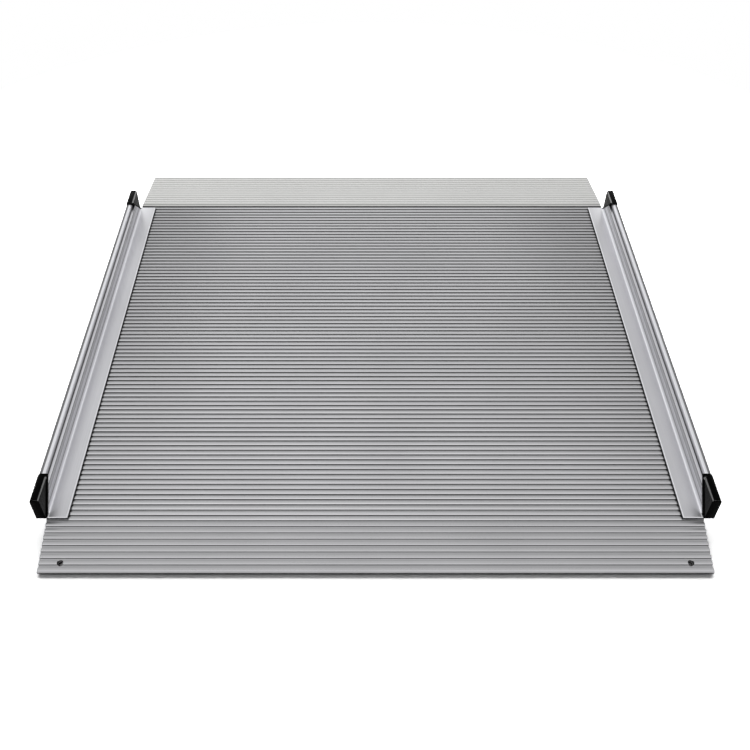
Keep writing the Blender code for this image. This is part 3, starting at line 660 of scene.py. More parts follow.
def ribs(count, pitch, depth, groove):
    """A run of cambered ribs from front to rear: their front edges are worn bright by feet and also carry a
    painted highlight, and each land a painted sheen that grows brighter towards the front edge.
    """
    points = []
    for number in range(count):
        front = number * pitch + groove / 2
        rear = (number + 1) * pitch - groove / 2
        outline = rounded([
            corner(front - groove / 2, -depth),
            corner(front, -depth, GROOVE_ROUNDING, steps=GROOVE_STEPS),
            corner(front + RIB_LEAN, -RIB_CAMBER, RIB_FRONT_EDGE, wear=1.0),
            corner(rear - RIB_LEAN, -RIB_CAMBER, RIB_REAR_EDGE, wear=REAR_EDGE_HIGHLIGHT),
            corner(rear, -depth, GROOVE_ROUNDING, steps=GROOVE_STEPS),
            corner(rear + groove / 2, -depth),
        ])[1:-1]
        # The points below the land take a depth mark, which paints shade, partly real soiling, into the grooves
        outline = [point._replace(depth=max(0, -point.up - UNSHADED_DEPTH)) for point in outline]
        half = len(outline) // 2
        land_start = outline[half - 1].across
        land_length = outline[half].across - land_start
        points += outline[:half]
        # Painted sheen: the land's points grow brighter towards its front edge
        for step in range(1, LAND_STEPS + 1):
            share = step / (LAND_STEPS + 1)
            height = -RIB_CAMBER * (2 * share - 1) ** 2
            points.append(Point(land_start + land_length * share, height, LAND_HIGHLIGHT_AND_WEAR * (1 - share)))
        points += outline[half:]
    return points


def on_land(point):
    """Whether a point of a run of ribs lies on a land, behind its front edge, which is worn and painted bright."""
    return point.depth == 0 and point.wear < LAND_HIGHLIGHT_AND_WEAR


def level_ribs(seam, count):
    """The ribbed top of a level piece, from its front seam or bend backwards."""
    return moved(ribs(count, RIB_PITCH, RIB_DEPTH, GROOVE_WIDTH), seam, DECK_TOP)


def seam_face(seam, side):
    """A plank's face at a seam, from its top down: with a tongue (-1), or with a recess for one (1)."""
    face = seam + side * GAP / 2
    play = GAP if side > 0 else 0
    high = TONGUE_HEIGHT + TONGUE_THICKNESS / 2 + play
    low = TONGUE_HEIGHT - TONGUE_THICKNESS / 2 - play
    reach = seam + TONGUE_REACH + play
    return [
        # The seam's upper face takes painted shade by its depth mark
        Point(face, DECK_TOP - RIB_DEPTH, depth=RIB_DEPTH),
        Point(face, high, depth=RIB_DEPTH),
        Point(reach, high),
        Point(reach, low),
        Point(face, low),
        Point(face, DECK_UNDERSIDE),
    ]


def strip_slot(centre, underside):
    """A slot for a rubber strip in an underside, from its rear edge to its front one."""
    ledge = underside + SLOT_LEDGE
    half = [
        (SLOT_MOUTH / 2, underside),
        (SLOT_MOUTH / 2, ledge),
        (SLOT_WIDTH / 2, ledge),
        (SLOT_WIDTH / 2, ledge + SLOT_DEPTH),
    ]
    rear = [Point(centre + across, up) for across, up in half]
    front = [Point(centre - across, up) for across, up in reversed(half)]
    return rear + front


def boss_side(web, side):
    """The bulge of a screw port's boss into the bay in front of its web (-1) or behind it (1)."""
    half_angle = math.acos(WEB / 2 / PORT_BOSS_RADIUS)
    middle = 0 if side > 0 else math.pi
    start = middle - side * half_angle
    end = middle + side * half_angle
    bulge = arc((web, PORT_HEIGHT), PORT_BOSS_RADIUS, start, end, CURVE_STEPS)
    return [corner(*point[:2]) for point in bulge]


def bay(floor, port_in_front=None, port_behind=None):
    """A hollow under a level top: its floor from front to rear, and the ports on the webs beside it."""
    outline = [corner(*place, BAY_ROUNDING) for place in floor]
    if port_behind is not None:
        outline += boss_side(port_behind, -1)
    outline.append(corner(floor[-1][0], BAY_TOP, BAY_ROUNDING))
    outline.append(corner(floor[0][0], BAY_TOP, BAY_ROUNDING))
    if port_in_front is not None:
        outline += reversed(boss_side(port_in_front, 1))
    return rounded(outline)


def level_bay(front, rear, **ports):
    """A bay whose floor is level all the way."""
    return bay([(front, BAY_FLOOR), (rear, BAY_FLOOR)], **ports)


def screw_port(web):
    """The bore of a screw port on a web."""
    return circle((web, PORT_HEIGHT), PORT_RADIUS)


def plank_hollows(seam, last_bay_end):
    """The four bays and the two screw ports of a plank. The middle bays step over the strip's slot."""
    front_port = seam + PLANK_LENGTH / 4
    rear_port = seam + PLANK_LENGTH * 3 / 4
    middle = seam + PLANK_LENGTH / 2
    block_half = SLOT_WIDTH / 2 + WALL
    block_top = DECK_UNDERSIDE + SLOT_LEDGE + SLOT_DEPTH + WALL
    second_bay = [
        (front_port + WEB / 2, BAY_FLOOR),
        (middle - block_half, BAY_FLOOR),
        (middle - block_half, block_top),
        (middle - WEB / 2, block_top),
    ]
    third_bay = [
        (middle + WEB / 2, block_top),
        (middle + block_half, block_top),
        (middle + block_half, BAY_FLOOR),
        (rear_port - WEB / 2, BAY_FLOOR),
    ]
    return [
        level_bay(seam + TONGUE_REACH + GAP + WALL, front_port - WEB / 2, port_behind=front_port),
        bay(second_bay, port_in_front=front_port),
        bay(third_bay, port_behind=rear_port),
        level_bay(rear_port + WEB / 2, last_bay_end, port_in_front=rear_port),
        screw_port(front_port),
        screw_port(rear_port),
    ]


def plank_section(seam):
    """A plank: ribs, tongue, slotted underside and recess, round its bays and ports."""
    outside = level_ribs(seam, PLANK_RIBS)
    outside += seam_face(seam + PLANK_LENGTH, -1)
    outside += strip_slot(seam + PLANK_LENGTH / 2, DECK_UNDERSIDE)
    outside += reversed(seam_face(seam, 1))
    return [outside] + plank_hollows(seam, seam + PLANK_LENGTH - GAP / 2 - WALL)


def lip_angle(radius):
    """How far from the neck's middle line a lip of the socket ends, on a circle about the pivot."""
    return math.asin((NECK / 2 + HINGE_CLEARANCE) / radius)


def hinge_plank_section(seam):
    """The rearmost plank: like the others, but with the hinge socket in place of the tongue."""
    outside = level_ribs(seam, PLANK_RIBS)[:-GROOVE_STEPS]
    rear_face = seam + PLANK_LENGTH - GROOVE_WIDTH / 2
    face_angle = math.acos((rear_face - PIVOT[0]) / SOCKET_OUTER_RADIUS)
    upper = LIFT_ANGLE - FLAP_SLOPE
    lower = math.tau - FLAP_SLOPE
    outer, inner = lip_angle(SOCKET_OUTER_RADIUS), lip_angle(SOCKET_RADIUS)
    # The socket's inside and upper lip take a made-up depth that paints shade into the hinge's gap
    for radius, start, end, steps, depth in (
        (SOCKET_OUTER_RADIUS, face_angle, upper + outer, CURVE_STEPS, PAINTED_SHADE_DEPTH),
        (SOCKET_RADIUS, upper + inner, lower - inner, ROUND_STEPS, PAINTED_SHADE_DEPTH),
        (SOCKET_OUTER_RADIUS, lower - outer, math.pi * 3 / 2, CURVE_STEPS, 0.0),
    ):
        outside += arc(PIVOT, radius, start, end, steps, depth=depth)
    outside.append(Point(PIVOT[0] - SOCKET_OUTER_RADIUS, DECK_UNDERSIDE))
    outside += strip_slot(seam + PLANK_LENGTH / 2, DECK_UNDERSIDE)
    outside += reversed(seam_face(seam, 1))
    return [outside] + plank_hollows(seam, PIVOT[0] - SOCKET_OUTER_RADIUS - WALL)


def slope_place(along, height):
    """A place on the lip's slope, from its distance down the slope and its height over the lands."""
    return (
        BEND - along * math.cos(LIP_SLOPE) - height * math.sin(LIP_SLOPE),
        DECK_TOP - along * math.sin(LIP_SLOPE) + height * math.cos(LIP_SLOPE),
    )


def lip_section():
    """The front lip: a level hollow part and a sloping one that ends in a solid rounded nose."""
    slope_start = slope_place(LIP_SLOPING, 0)
    slope_ribs = ribs(LIP_SLOPING_RIBS, RIB_PITCH, RIB_DEPTH, GROOVE_WIDTH)
    slope_ribs = [point._replace(wear=point.wear * LIP_HIGHLIGHT_AND_WEAR) for point in slope_ribs]
    slope = turned(moved(slope_ribs, *slope_start), slope_start, LIP_SLOPE)
    front = LIP_LOW.y
    first_land = next(number for number, point in enumerate(slope) if on_land(point))
    nose = rounded([
        corner(front + NOSE_FLAT, NOSE_UNDERSIDE),
        corner(front, NOSE_UNDERSIDE, NOSE_LOW_ROUNDING),
        corner(front, NOSE_TOP, NOSE_TOP_ROUNDING),
        corner(*slope[first_land][:2]),
    ])
    outside = slope[first_land:]
    outside += level_ribs(BEND, LIP_LEVEL_RIBS)
    outside += seam_face(FIRST_SEAM, -1)
    outside.append(Point(front + NOSE_FLAT + NOSE_RISE, DECK_UNDERSIDE))
    outside.append(Point(front + NOSE_FLAT, NOSE_UNDERSIDE))
    outside += strip_slot(front + NOSE_SLOT_INSET, NOSE_UNDERSIDE)
    outside += nose[1:-1]

    port = FIRST_SEAM - LIP_PORT_INSET
    low_bay_front = front + NOSE_FLAT
    low_bay_rear = BEND - WEB * 3 / 2
    slope_bay = rounded([
        corner(low_bay_front, BAY_FLOOR),
        corner(low_bay_rear, BAY_FLOOR, BAY_ROUNDING),
        corner(low_bay_rear, BAY_TOP - WEB * 3 / 2 * math.tan(LIP_SLOPE), BAY_ROUNDING),
        corner(low_bay_front, BAY_TOP + (low_bay_front - BEND) * math.tan(LIP_SLOPE)),
    ])
    return [
        outside,
        slope_bay,
        level_bay(BEND - WEB / 2, port - WEB / 2, port_behind=port),
        level_bay(port + WEB / 2, FIRST_SEAM - GAP / 2 - WALL, port_in_front=port),
        screw_port(port),
    ]


def flap_place(along, height):
    """A place on the flap, from its distance down the top face and its height over it."""
    return (
        PIVOT[0] + FLAP_CORNER_BEHIND_PIVOT + along * math.cos(FLAP_SLOPE) + height * math.sin(FLAP_SLOPE),
        FLAP_TOP_AT_HINGE - along * math.sin(FLAP_SLOPE) + height * math.cos(FLAP_SLOPE),
    )


def height_on_line(first, last, across):
    """The height of a line through two points, at a place across."""
    return first[1] + (last[1] - first[1]) * (across - first[0]) / (last[0] - first[0])


def flap_bays(floor, start):
    """The flap's hollows behind a start, between a floor line and the top wall, with walls between them."""
    wall_depth = FLAP_RIB_DEPTH + FLAP_WALL
    ceiling = (flap_place(0, -wall_depth), flap_place(FLAP_LENGTH, -wall_depth))
    bay_length = (FLAP_HIGH.y - TOE_FLAT - start) / FLAP_BAYS
    bays = []
    for number in range(FLAP_BAYS):
        front = start + number * bay_length
        rear = front + bay_length - FLAP_WALL
        corners = ((floor, front), (floor, rear), (ceiling, rear), (ceiling, front))
        bays.append([Point(across, height_on_line(*line, across)) for line, across in corners])
    return bays


def flap_section():
    """The flap: bead, neck, hollow body, flat toe and ribbed top."""
    toe = FLAP_HIGH.y
    neck_end = FLAP_HOLLOW_RADIUS + SOCKET_WALL
    neck_low = (
        PIVOT[0] + neck_end * math.cos(FLAP_SLOPE) - NECK / 2 * math.sin(FLAP_SLOPE),
        PIVOT[1] - neck_end * math.sin(FLAP_SLOPE) - NECK / 2 * math.cos(FLAP_SLOPE),
    )
    flat_start = (toe - TOE_FLAT, TOE_UNDERSIDE)
    recess_rear = toe - TOE_STRIP_INSET + GAP
    recess_front = toe - TOE_STRIP_INSET - TOE_STRIP_WIDTH - GAP
    recess_top = TOE_UNDERSIDE + TOE_RECESS_DEPTH
    underside = [
        neck_low,
        flat_start,
        (recess_front, TOE_UNDERSIDE),
        (recess_front, recess_top),
        (recess_rear, recess_top),
        (recess_rear, TOE_UNDERSIDE),
    ]
    rib_start = flap_place(FLAP_PLAIN, 0)
    top_ribs = ribs(FLAP_RIBS, FLAP_RIB_PITCH, FLAP_RIB_DEPTH, FLAP_GROOVE_WIDTH)
    top = turned(moved(top_ribs, *rib_start), rib_start, -FLAP_SLOPE)
    last_land = max(
        number for number, point in enumerate(top)
        if on_land(point) and point.across < toe - TOE_ROUNDING * 2
    )
    edge = flap_place(0, 0)
    edge_angle = math.atan2(edge[1] - PIVOT[1], edge[0] - PIVOT[0])
    shade = Vector(edge).lerp(Vector(PIVOT), SHADE_START)
    bead_start = math.asin(NECK / 2 / BEAD_RADIUS) - FLAP_SLOPE
    bead_end = math.tau - math.asin(NECK / 2 / BEAD_RADIUS) - FLAP_SLOPE
    hollow_end = math.asin(NECK / 2 / FLAP_HOLLOW_RADIUS) - FLAP_SLOPE

    # The bead, the shaded edge point and the hollow take a made-up depth that paints shade into the hinge's gap
    outside = arc(PIVOT, BEAD_RADIUS, bead_start, bead_end, ROUND_STEPS, depth=PAINTED_SHADE_DEPTH)
    outside += [Point(*place) for place in underside]
    outside += rounded([
        corner(recess_rear, TOE_UNDERSIDE),
        corner(toe, TOE_UNDERSIDE, TOE_ROUNDING),
        corner(toe, TOE_TOP, TOE_ROUNDING, wear=1.0),
        corner(*top[last_land][:2]),
    ])[1:-1]
    outside += reversed(top[:last_land + 1])
    outside += rounded([corner(*rib_start), corner(*edge, RIB_REAR_EDGE), corner(*PIVOT)])[1:-1]
    outside.append(Point(*shade, depth=PAINTED_SHADE_DEPTH))
    outside += arc(PIVOT, FLAP_HOLLOW_RADIUS, edge_angle, hollow_end, CURVE_STEPS, depth=PAINTED_SHADE_DEPTH)

    floor = [(across, up + FLAP_WALL) for across, up in (neck_low, flat_start)]
    return [outside, circle(PIVOT, BEAD_BORE_RADIUS)] + flap_bays(floor, PIVOT[0] + neck_end + FLAP_WALL)


def strip_section(centre, underside):
    """A rubber strip in its slot, with grooves along its sole."""
    foot = STRIP_WIDTH / 2
    neck = SLOT_MOUTH / 2 - GAP
    head = SLOT_WIDTH / 2 - GAP
    head_low = underside + SLOT_LEDGE + GAP
    head_high = underside + SLOT_LEDGE + SLOT_DEPTH - GAP
    pitch = (STRIP_WIDTH - 2 * STRIP_EDGE) / SOLE_GROOVES
    groove = [
        (-SOLE_GROOVE_TOP, 0),
        (-SOLE_GROOVE_FLOOR, SOLE_GROOVE_DEPTH),
        (SOLE_GROOVE_FLOOR, SOLE_GROOVE_DEPTH),
        (SOLE_GROOVE_TOP, 0),
    ]
    flank = [
        (foot, 0, STRIP_EDGE),
        (foot, underside - GAP, STRIP_EDGE),
        (neck, underside - GAP, 0),
        (neck, head_low, 0),
        (head, head_low, 0),
        (head, head_high, STRIP_EDGE),
    ]
    outline = [corner(centre - foot, 0, STRIP_EDGE)]
    for number in range(SOLE_GROOVES):
        middle = centre - foot + STRIP_EDGE + pitch * (number + 0.5)
        outline += [corner(middle + pitch * share, height) for share, height in groove]
    outline += [corner(centre + reach, height, radius) for reach, height, radius in flank]
    outline += [corner(centre - reach, height, radius) for reach, height, radius in reversed(flank[1:])]
    return [rounded(outline)]


def face_strip(height, width, reach, slant, **marks):
    """A groove or bead at its height over the deck on the kerb's inner face, whose corners take a little painted
    shade.
    """
    low = DECK_TOP + height
    high = low + width
    return [
        corner(HALF_CLEAR, low, depth=FACE_SHADE),
        corner(HALF_CLEAR + reach, low + slant, **marks),
        corner(HALF_CLEAR + reach, high - slant, **marks),
        corner(HALF_CLEAR, high, depth=FACE_SHADE),
    ]


def rail_section(side):
    """A kerb rail: flange with an undercut edge, hollow kerb with a ledge and a rounded head, and leg."""
    undercut_top = RAIL_BASE + UNDERCUT_HEIGHT
    undercut = FLANGE_INNER + UNDERCUT_REACH
    head_inner = HALF_CLEAR + LEDGE_WIDTH
    groove_inner = head_inner - LEDGE_GROOVE_WIDTH
    groove_floor = LEDGE - LEDGE_GROOVE_DEPTH
    lines = [
        face_strip(height, LINE_WIDTH, LINE_DEPTH, LINE_DEPTH / 2, depth=LINE_SHADE)
        for height in LINE_HEIGHTS
    ]
    bead = face_strip(BEAD_LOW, BEAD_WIDTH, -BEAD_HEIGHT, BEAD_HEIGHT * 2, wear=BEAD_HIGHLIGHT)
    outside = [
        # Painted shade: the undercut takes a made-up depth, the inner face and its lines a little, the ledge's
        # groove its depth, and the head's outer rounding a painted dark reflection
        corner(undercut, RAIL_BASE, depth=PAINTED_SHADE_DEPTH),
        corner(undercut - UNDERCUT_SLANT, undercut_top, UNDERCUT_ROUNDING, depth=PAINTED_SHADE_DEPTH),
        corner(FLANGE_INNER, undercut_top, UNDERCUT_ROUNDING, depth=PAINTED_SHADE_DEPTH),
        # Painted highlights on the flange's edge, the flange by the kerb, the fillet, the bead, the ledge and the
        # head
        corner(FLANGE_INNER, FLANGE_TOP, FLANGE_EDGE, wear=1.0, steps=FINE_STEPS),
        corner(FLANGE_INNER + FLANGE_EDGE + FLANGE_HIGHLIGHT_WIDTH, FLANGE_TOP),
        corner(HALF_CLEAR - KERB_FILLET - FLANGE_HIGHLIGHT_WIDTH, FLANGE_TOP, wear=FLANGE_HIGHLIGHT_BY_KERB),
        corner(HALF_CLEAR, FLANGE_TOP, KERB_FILLET, wear=FILLET_HIGHLIGHT, steps=CURVE_STEPS),
        *lines[0], *bead, *lines[1],
        corner(HALF_CLEAR, LEDGE, LEDGE_EDGE, wear=LEDGE_HIGHLIGHT),
        corner(groove_inner, LEDGE),
        corner(groove_inner, groove_floor, depth=LEDGE_GROOVE_DEPTH),
        corner(head_inner, groove_floor, depth=LEDGE_GROOVE_DEPTH),
        corner(head_inner, LEDGE, depth=LINE_SHADE),
        corner(head_inner, RAIL_TOP, HEAD_INNER_ROUNDING, wear=1.0, steps=FINE_STEPS),
        corner(head_inner + HEAD_INNER_ROUNDING + HEAD_HIGHLIGHT_WIDTH, RAIL_TOP, wear=HEAD_HIGHLIGHT),
        corner(KERB_OUTER, RAIL_TOP, HEAD_OUTER_ROUNDING, depth=OUTER_DARK_REFLECTION, steps=HEAD_STEPS),
        corner(KERB_OUTER, RAIL_BASE, FLANGE_EDGE),
        corner(LEG_OUTER, RAIL_BASE),
        corner(LEG_OUTER, LEG_FOOT, LEG_EDGE),
        corner(LEG_INNER, LEG_FOOT, LEG_EDGE),
        corner(LEG_INNER, RAIL_BASE),
    ]
    hollow = evenly_rounded([
        (HALF_CLEAR + KERB_WALL, RAIL_BASE + KERB_WALL),
        (KERB_OUTER - KERB_WALL, RAIL_BASE + KERB_WALL),
        (KERB_OUTER - KERB_WALL, RAIL_TOP - HEAD_OUTER_ROUNDING),
        (KERB_OUTER - HEAD_OUTER_ROUNDING, RAIL_TOP - KERB_WALL),
        (head_inner + KERB_WALL, RAIL_TOP - KERB_WALL),
        (head_inner + KERB_WALL, LEDGE - KERB_WALL),
        (HALF_CLEAR + KERB_WALL, LEDGE - KERB_WALL),
    ], BAY_ROUNDING)
    return [mirrored(rounded(outside), side), mirrored(hollow, side)]


# Cuts

def slant_shift():
    """How far the rail's slanted cut lies behind the cap's slanted face, measured along the ramp."""
    rise = RAIL_TOP - RAIL_BASE
    run = CAP_SETBACK - CAP_FOOT
    return GAP * math.hypot(rise, run) / rise


def slant_reach(height):
    """How far the cap's slanted face lies from the rail's end at a height."""
    return CAP_FOOT + (CAP_SETBACK - CAP_FOOT) * (height - RAIL_BASE) / (RAIL_TOP - RAIL_BASE)


def cutting_block(name, places, inner, outer, end):
    """A prism across a rail, from (distance from the rail's end, height) places."""
    outline = [Point(end.place + end.inward * reach, height) for reach, height in places]
    low, high = sorted((end.side * inner, end.side * outer))
    return extruded(name, [outline], low, high, chamfer=0)


def block_along(name, outline, near, far, end, chamfer=0.0):
    """A prism along a rail, between two distances from the rail's end."""
    start, stop = sorted(end.place + end.inward * reach for reach in (near, far))
    return extruded(name, [mirrored(outline, end.side)], start, stop, "Y", chamfer)


def rail_end_cuts(end):
    """What is cut from a rail's end: the slanted cut through kerb and leg, and the one over the flange."""
    over = RAIL_TOP + CUT_MARGIN
    stub = RAIL_BASE - LEG_STUB
    floor = FLANGE_TOP + GAP / 2
    shift = slant_shift()
    kerb = [
        (-CUT_MARGIN, -CUT_MARGIN),
        (LEG_SETBACK, -CUT_MARGIN),
        (LEG_SETBACK, stub),
        (slant_reach(stub) + shift, stub),
        (slant_reach(over) + shift, over),
        (-CUT_MARGIN, over),
    ]
    fillet = [
        (-CUT_MARGIN, floor),
        (slant_reach(floor) + shift - GAP / 2, floor),
        (slant_reach(over) + shift - GAP / 2, over),
        (-CUT_MARGIN, over),
    ]
    return [
        cutting_block("kerb_cut", kerb, HALF_CLEAR + GAP / 2, KERB_OUTER + CUT_MARGIN, end),
        cutting_block("fillet_cut", fillet, HALF_CLEAR - KERB_FILLET - GAP, HALF_CLEAR + GAP, end),
    ]


def flange_end_cuts(end):
    """What shapes a flange's end: a rounded top edge, and a rebate under it."""
    centre = (FLANGE_EDGE - TANGENT_LIFT, FLANGE_TOP - FLANGE_EDGE + TANGENT_LIFT)
    edge = [point[:2] for point in arc(centre, FLANGE_EDGE, math.pi, math.pi / 2, FINE_STEPS)]
    over = FLANGE_TOP + CUT_MARGIN
    edge += [(centre[0], over), (-CUT_MARGIN, over), (-CUT_MARGIN, centre[1])]
    rebate = [
        (-CUT_MARGIN, RAIL_BASE - CUT_MARGIN),
        (UNDERCUT_REACH, RAIL_BASE - CUT_MARGIN),
        (UNDERCUT_REACH, RAIL_BASE + FLANGE_REBATE),
        (-CUT_MARGIN, RAIL_BASE + FLANGE_REBATE),
    ]
    inner = FLANGE_INNER - CUT_MARGIN
    return [
        cutting_block("edge_cut", edge, inner, KERB_OUTER, end),
        cutting_block("rebate_cut", rebate, inner, HALF_CLEAR + GAP, end),
    ]


def leg_hole_cuts(side, hand):
    """The holes through a rail's leg for its screws."""
    low, high = sorted((side * HALF_DECK, side * (LEG_OUTER + CUT_MARGIN)))
    cuts = []
    for node in frame["nodes"]:
        if node.startswith(f"rail_screw_{hand}"):
            middle = sum(box_mm(node), Vector()) / 2
            hole = circle((middle.y, middle.z), SCREW_CLEARANCE_RADIUS)
            cuts.append(extruded("leg_hole", [hole], low, high, chamfer=0))
    return cuts


def fixing_hole_place(side):
    """Where a fixing hole's axis meets the lip's sloping top."""
    return (side * (HALF_DECK - FIXING_SIDE_INSET), *slope_place(LIP_SLOPING - FIXING_EDGE_INSET, 0))


def fixing_hole_cuts():
    """The two countersunk fixing holes of the lip, square to its slope."""
    rim = COUNTERSINK_RADIUS + COUNTERSINK_EDGE
    sink_floor = RIB_DEPTH + COUNTERSINK_EDGE
    hole_start = sink_floor + COUNTERSINK_RADIUS - FIXING_HOLE_RADIUS
    mesh = spun("fixing_hole", [
        (0, CUT_MARGIN, 0),
        (rim, CUT_MARGIN, 0),
        (rim, COUNTERSINK_EDGE, 0),
        (COUNTERSINK_RADIUS, -COUNTERSINK_EDGE, 0),
        (COUNTERSINK_RADIUS, -sink_floor, RIB_DEPTH),
        (FIXING_HOLE_RADIUS, -hole_start, RIB_DEPTH),
        (FIXING_HOLE_RADIUS, -DECK_TOP, RIB_DEPTH),
        (0, -DECK_TOP, RIB_DEPTH),
    ])
    return [
        add_object("fixing_hole_cut", mesh.copy(), fixing_hole_place(side), (LIP_SLOPE, 0, 0))
        for side in (-1, 1)
    ]


def cap_cuts(end):
    """What is cut from a cap's block: its slant, and its inner side but for a collar by the slant."""
    under = RAIL_BASE - CUT_MARGIN
    over = RAIL_TOP + CUT_MARGIN
    low, high = slant_reach(under), slant_reach(over)
    inner, outer = CAP_LOW.x - CUT_MARGIN, CAP_HIGH.x + CUT_MARGIN
    slant = [(low, under), (high + CUT_MARGIN, under), (high + CUT_MARGIN, over), (high, over)]
    hollow = [(low - CAP_COLLAR, under), (high - CAP_COLLAR, over), (low - CAP_COLLAR - CUT_MARGIN, over)]
    beside_body = rounded([
        corner(inner, under),
        corner(CAP_BODY_INNER, under),
        corner(CAP_BODY_INNER, CAP_HIGH.z, CAP_BODY_ROUNDING, steps=BODY_STEPS),
        corner(outer, CAP_HIGH.z),
        corner(outer, over),
        corner(inner, over),
    ])
    beside = block_along("beside_body", beside_body, -CUT_MARGIN, CAP_SETBACK + 2 * CUT_MARGIN, end)
    hollow_cut = cutting_block("hollow_cut", hollow, inner, CAP_BODY_INNER + CAP_BODY_ROUNDING, end)
    combine(hollow_cut, [beside], "INTERSECT")
    return [cutting_block("slant_cut", slant, inner, outer, end), hollow_cut]


# Pieces

def across_deck(node, section):
    """An extrusion over the whole width of the deck."""
    return extruded(f"{node}_extrusion", section, -HALF_DECK, HALF_DECK)


def add_deck(materials):
    """The planks, the last of them carrying the hinge socket, and the front lip."""
    for order in range(DECK_PLANKS):
        node = f"deck_plank_{order + 1}"
        finish(across_deck(node, plank_section(FIRST_SEAM + order * PLANK_LENGTH)), node, materials)
    last_seam = FIRST_SEAM + DECK_PLANKS * PLANK_LENGTH
    finish(across_deck("hinge_plank", hinge_plank_section(last_seam)), "hinge_plank", materials)
    section = lip_section()
    lip = across_deck("front_lip", section)
    combine(lip, fixing_hole_cuts())
    restore_marks(lip, section, "X")
    finish(lip, "front_lip", materials)


def add_flap(materials):
    """The rear flap."""
    finish(across_deck("rear_flap", flap_section()), "rear_flap", materials)


def add_strips(materials):
    """The rubber strips under the deck, the nose and the toe."""
    for node in ("deck_strip_1", "deck_strip_2", "deck_strip_3", "nose_strip", "toe_strip"):
        low, high = box_mm(node)
        underside = NOSE_UNDERSIDE if node == "nose_strip" else DECK_UNDERSIDE
        section = strip_section((low.y + high.y) / 2, underside)
        if node == "toe_strip":
            section = [rounded([
                corner(low.y, low.z, STRIP_EDGE / 2),
                corner(high.y, low.z, STRIP_EDGE / 2),
                corner(high.y, high.z),
                corner(low.y, high.z),
            ])]
        finish(extruded(f"{node}_rubber", section, low.x, high.x), node, materials)


def add_rail(side, hand, ends, materials):
    """A kerb rail with its slanted ends, flange ends whose rounded edges carry a painted highlight, and the screw
    holes through its leg.
    """
    node = f"{hand}_rail"
    section = rail_section(side)
    rail = extruded(f"{node}_extrusion", section, RAIL_FRONT, RAIL_REAR, "Y")
    cuts = leg_hole_cuts(side, hand)
    for end in ends:
        cuts += rail_end_cuts(end) + flange_end_cuts(end)
    combine(rail, cuts)
    restore_marks(rail, section, "Y")

    def rounded_end(place, normal):
        on_edge = FLANGE_TOP - FLANGE_EDGE < place.z < FLANGE_TOP and abs(place.x) < HALF_CLEAR
        return on_edge and min(abs(normal.y), normal.z) > FLANGE_END_FACING

    # Painted highlight on the rounded edges of the flange's ends
    mark_worn_and_highlight(rail, 1.0, rounded_end)
    finish(rail, node, materials)


def highlight_cap_edges(cap, end):
    """Paint highlights along a cap's body's top edges, and a faint painted reflection on a front cap's inner side.
    """
    def on_body_top(place, normal):
        on_body = CAP_BODY_INNER < abs(place.x) < CAP_HIGH.x - CAP_ROUNDING
        return on_body and place.z > CAP_HIGH.z - CAP_BODY_ROUNDING and normal.z > CAP_EDGE_FACING

    def inner_edge(place, normal):
        return on_body_top(place, normal) and -end.side * normal.x > CAP_EDGE_FACING

    def end_edge(place, normal):
        return on_body_top(place, normal) and -end.inward * normal.y > CAP_EDGE_FACING

    def inner_side(place, normal):
        on_body = abs(place.x) > CAP_BODY_INNER - TANGENT_LIFT
        return on_body and -end.side * normal.x > CAP_SIDE_FACING

    # Only the front caps' inner sides take the painted reflection of the deck
    if end.place == RAIL_FRONT:
        mark_worn_and_highlight(cap, CAP_SIDE_REFLECTION, inner_side)
    mark_worn_and_highlight(cap, CAP_TOP_HIGHLIGHT, inner_edge)
    mark_worn_and_highlight(cap, 1.0, end_edge)


def add_cap(node, end, materials):
    """A wedge-shaped end cap: its inner side is cut back but for a collar, and a plug fills the rail."""
    block = rounded([
        corner(CAP_LOW.x, CAP_LOW.z),
        corner(CAP_HIGH.x, CAP_LOW.z),
        corner(CAP_HIGH.x, CAP_HIGH.z, CAP_ROUNDING, steps=CURVE_STEPS),
        corner(CAP_LOW.x, CAP_HIGH.z, CAP_INNER_ROUNDING, steps=FINE_STEPS),
    ])
    cap = block_along(f"{node}_moulding", block, 0, CAP_SETBACK + CUT_MARGIN, end)
    combine(cap, cap_cuts(end))
    soften(cap, CAP_EDGE, CAP_EDGE_STEPS)
    highlight_cap_edges(cap, end)
    fit = KERB_WALL + GAP
    plug = evenly_rounded([
        (HALF_CLEAR + fit, RAIL_BASE + fit),
        (KERB_OUTER - fit, RAIL_BASE + fit),
        (KERB_OUTER - fit, LEDGE - fit),
        (HALF_CLEAR + fit, LEDGE - fit),
    ], BAY_ROUNDING)
    plug_end = CAP_SETBACK + CAP_PLUG_REACH
    combine(cap, [block_along("plug", plug, CAP_PLUG_START, plug_end, end, END_CHAMFER)], "UNION")
    finish(cap, node, materials)


def add_kerbs(materials):
    """Both kerb rails, each with a cap in either end."""
    for side, hand in ((-1, "left"), (1, "right")):
        ends = {"front": RailEnd(side, RAIL_FRONT, 1), "rear": RailEnd(side, RAIL_REAR, -1)}
        add_rail(side, hand, ends.values(), materials)
        for name, end in ends.items():
            add_cap(f"{name}_{hand}_cap", end, materials)


